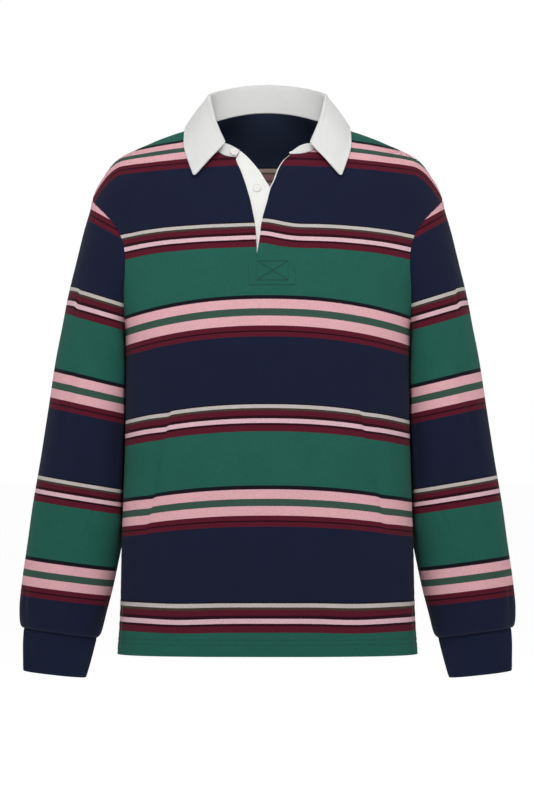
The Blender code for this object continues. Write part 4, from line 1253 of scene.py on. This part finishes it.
underlap, underlapStitch = makeUnderlap()
dress(underlap, "placket_underlap")
dress(underlapStitch)
facing = dress(makeFacing(), "placket_facing")
seat, seatFacing = standSeat()
x, z = button["lowerPlace"]
left = slitCurve.read(z)[0] - placket["tuck"]
lowerDepth = underlapDepth(np.array(x), left, np.array(z)) - body["seamGap"]
lowerSeat, lowerFacing = onFront(x, z, lowerDepth)
for name, node, place, way in (("buttonUpper", "button_upper", seat, seatFacing),
                               ("buttonLower", "button_lower", lowerSeat, lowerFacing)):
    made, holding = makeButton(name, place, way)
    dress(made, node)
    dress(holding)

# Sewn lines of the body
print("sewing")


def panelLine(rows, shares, side):
    # a line of places on the front or back, given by row and share, with the way each faces
    rows, shares = np.broadcast_arrays(np.asarray(rows, float), np.asarray(shares, float))
    if side < 0:
        right, left = [frontPoint(rows, abs(shares), half) for half in (-1, 1)]
        points = np.where((shares < 0)[:, None], right, left)
    else:
        points = backPoint(rows, shares)
    return panelSkin(points, rows, shares, side)[0], bodyNormal(points)


def frontLine(corners):
    # a line over the front, through corners seen from the front
    corners = np.array(corners, float)
    run = arcLengths(corners[None], 1)[0]
    at = np.linspace(0, run[-1], max(int(run[-1] / 0.002), 2))
    return onFront(np.interp(at, run, corners[:, 0]), np.interp(at, run, corners[:, 1]))


rowHeight = (body["underarm"] - body["hemHeight"]) / sideRows
rounding = np.linspace(-0.985, 0.985, 400)
hemLines = {}
for side in (-1, 1):
    hemLines[side] = [panelLine(height / rowHeight, rounding, side) for height in body["hemLines"]]
boxLeft, boxRight, boxTop, boxBottom = -0.0142, 0.0274, -0.1722, -0.1977
outerLeft, outerRight, outerBottom = -0.0250, 0.0368, -0.2042
boxLines = [
    frontLine([(boxLeft, boxTop), (boxRight, boxTop)]),
    frontLine([(boxLeft, boxBottom), (boxRight, boxBottom)]),
    frontLine([(boxLeft, boxTop), (boxRight, boxBottom)]),
    frontLine([(boxRight, boxTop), (boxLeft, boxBottom)]),
    frontLine([(outerLeft, outerBottom), (outerRight, outerBottom)]),
]
boxSideLines = [
    frontLine([(boxRight, boxTop), (boxRight, boxBottom)]),
    frontLine([(boxLeft, boxBottom), (boxLeft, boxTop)]),
    frontLine([(outerRight, outerBottom), (outerRight, -0.1800), (0.0342, -0.1755),
               (boxRight, boxTop)]),
    frontLine([(outerLeft, -0.1740), (outerLeft, outerBottom)]),
]
ventBottomRow, ventTopRow, ventShare, ventEdge = 0.25, 2.35, 0.872, 0.985
ventRows = np.linspace(ventBottomRow, ventTopRow, 60)
ventShares = np.linspace(ventShare, ventEdge, 30)
ventLines = {}
for side in (-1, 1):
    lines = []
    for half in (-1, 1):
        lines.append(panelLine(ventRows, half * ventShare, side))
        lines.append(panelLine(ventTopRow, half * ventShares, side))
    ventLines[side] = lines
sewing = (  # name, panel it is on, lines, thread, thickness
    ("hemStitchFront", "front", hemLines[-1], "green", 0.00032),
    ("hemStitchBack", "back", hemLines[1], "green", 0.00032),
    ("placketBoxStitch", "front", boxLines, "box", 0.00056),
    ("placketSideStitch", "front", boxSideLines, "green", 0.00034),
    ("ventStitchFront", "front", ventLines[-1], "pale", 0.00036),
    ("ventStitchBack", "back", ventLines[1], "pale", 0.00036),
)
sewnOn = {"front": [], "back": []}
for name, panel, lines, kind, thick in sewing:
    rows = stitchRows(name, lines, sewn[kind], thick=thick)
    sewnOn[panel].append(dress(rows))

# Studio: floor, light and camera
print("studio")
studio = {
    "floorHeight": -0.95, "floorSize": 60.0, "floorColour": (0.85, 0.85, 0.85), "floorGlow": 0.64,
    "worldLight": 0.395, "backdrop": 1.0,
    "lights": (  # place, what it faces, size, how wide it spreads in degrees, power, colour
        ((-0.7, -2.0, 1.7), (0.0, -0.1, 0.05), 0.9, 30, 0.98, (1.0, 1.0, 0.99)),
        ((0.7, -2.0, 1.7), (0.0, -0.1, 0.05), 0.9, 30, 0.85, (1.0, 1.0, 1.0)),
        ((0.0, 1.2, 3.2), (0.0, 0.0, -0.35), 2.6, 180, 14.0, (1.0, 1.0, 1.0)),
    ),
    "camera": (-0.0007, -7.05, -0.358), "lens": 36 * 7 / 1.08,
}
half, low = studio["floorSize"] / 2, studio["floorHeight"]
corners = [(-half, -half, low), (half, -half, low), (half, half, low), (-half, half, low)]
glow = {"Emission Color": (1.0, 1.0, 1.0), "Emission Strength": studio["floorGlow"]}
paleFloor = Finish("paleFloor", Roughness=0.9, **glow)
grain = paleFloor.noise(paleFloor.place(), 3.0)
tone = paleFloor.tinted(studio["floorColour"], (grain - 0.5) * 0.01 + 1.0)
floor = addObject("floor", corners, [(0, 1, 2, 3)], [paleFloor.finished(Base_Color=tone)])

world = bpy.data.worlds.new("softWhite")
world.use_nodes = True
sky = world.node_tree.nodes
sky["Background"].inputs["Color"].default_value = (1, 1, 1, 1)
# the backdrop is white to the eye, and lights the shirt more softly
ray = sky.new("ShaderNodeLightPath")
level = sky.new("ShaderNodeMapRange")
level.inputs["To Min"].default_value = studio["worldLight"]
level.inputs["To Max"].default_value = studio["backdrop"]
world.node_tree.links.new(ray.outputs["Is Camera Ray"], level.inputs["Value"])
world.node_tree.links.new(level.outputs[0], sky["Background"].inputs["Strength"])
bpy.context.scene.world = world
bpy.context.scene.view_settings.view_transform = "Standard"


def aimed(thing, place, target):
    thing.location = place
    direction = unit(np.array(target) - np.array(place))
    thing.rotation_euler = Vector(direction).to_track_quat("-Z", "Y").to_euler()


for i, (place, target, size, wide, power, colour) in enumerate(studio["lights"]):
    data = bpy.data.lights.new(f"softBox{i}", "AREA")
    data.shape, data.size, data.energy, data.color = "SQUARE", size, power, colour
    data.spread = math.radians(wide)
    lamp = bpy.data.objects.new(f"softBox{i}", data)
    bpy.context.scene.collection.objects.link(lamp)
    aimed(lamp, place, target)

cameraData = bpy.data.cameras.new("camera")
cameraData.sensor_fit, cameraData.sensor_height, cameraData.lens = "VERTICAL", 36, studio["lens"]
cameraData.clip_end = 200
camera = bpy.data.objects.new("camera", cameraData)
camera.location = studio["camera"]
camera.rotation_euler = (math.pi / 2, 0, 0)  # level, looking along +Y
bpy.context.scene.collection.objects.link(camera)
bpy.context.scene.camera = camera

bpy.context.view_layer.update()
print("finished")
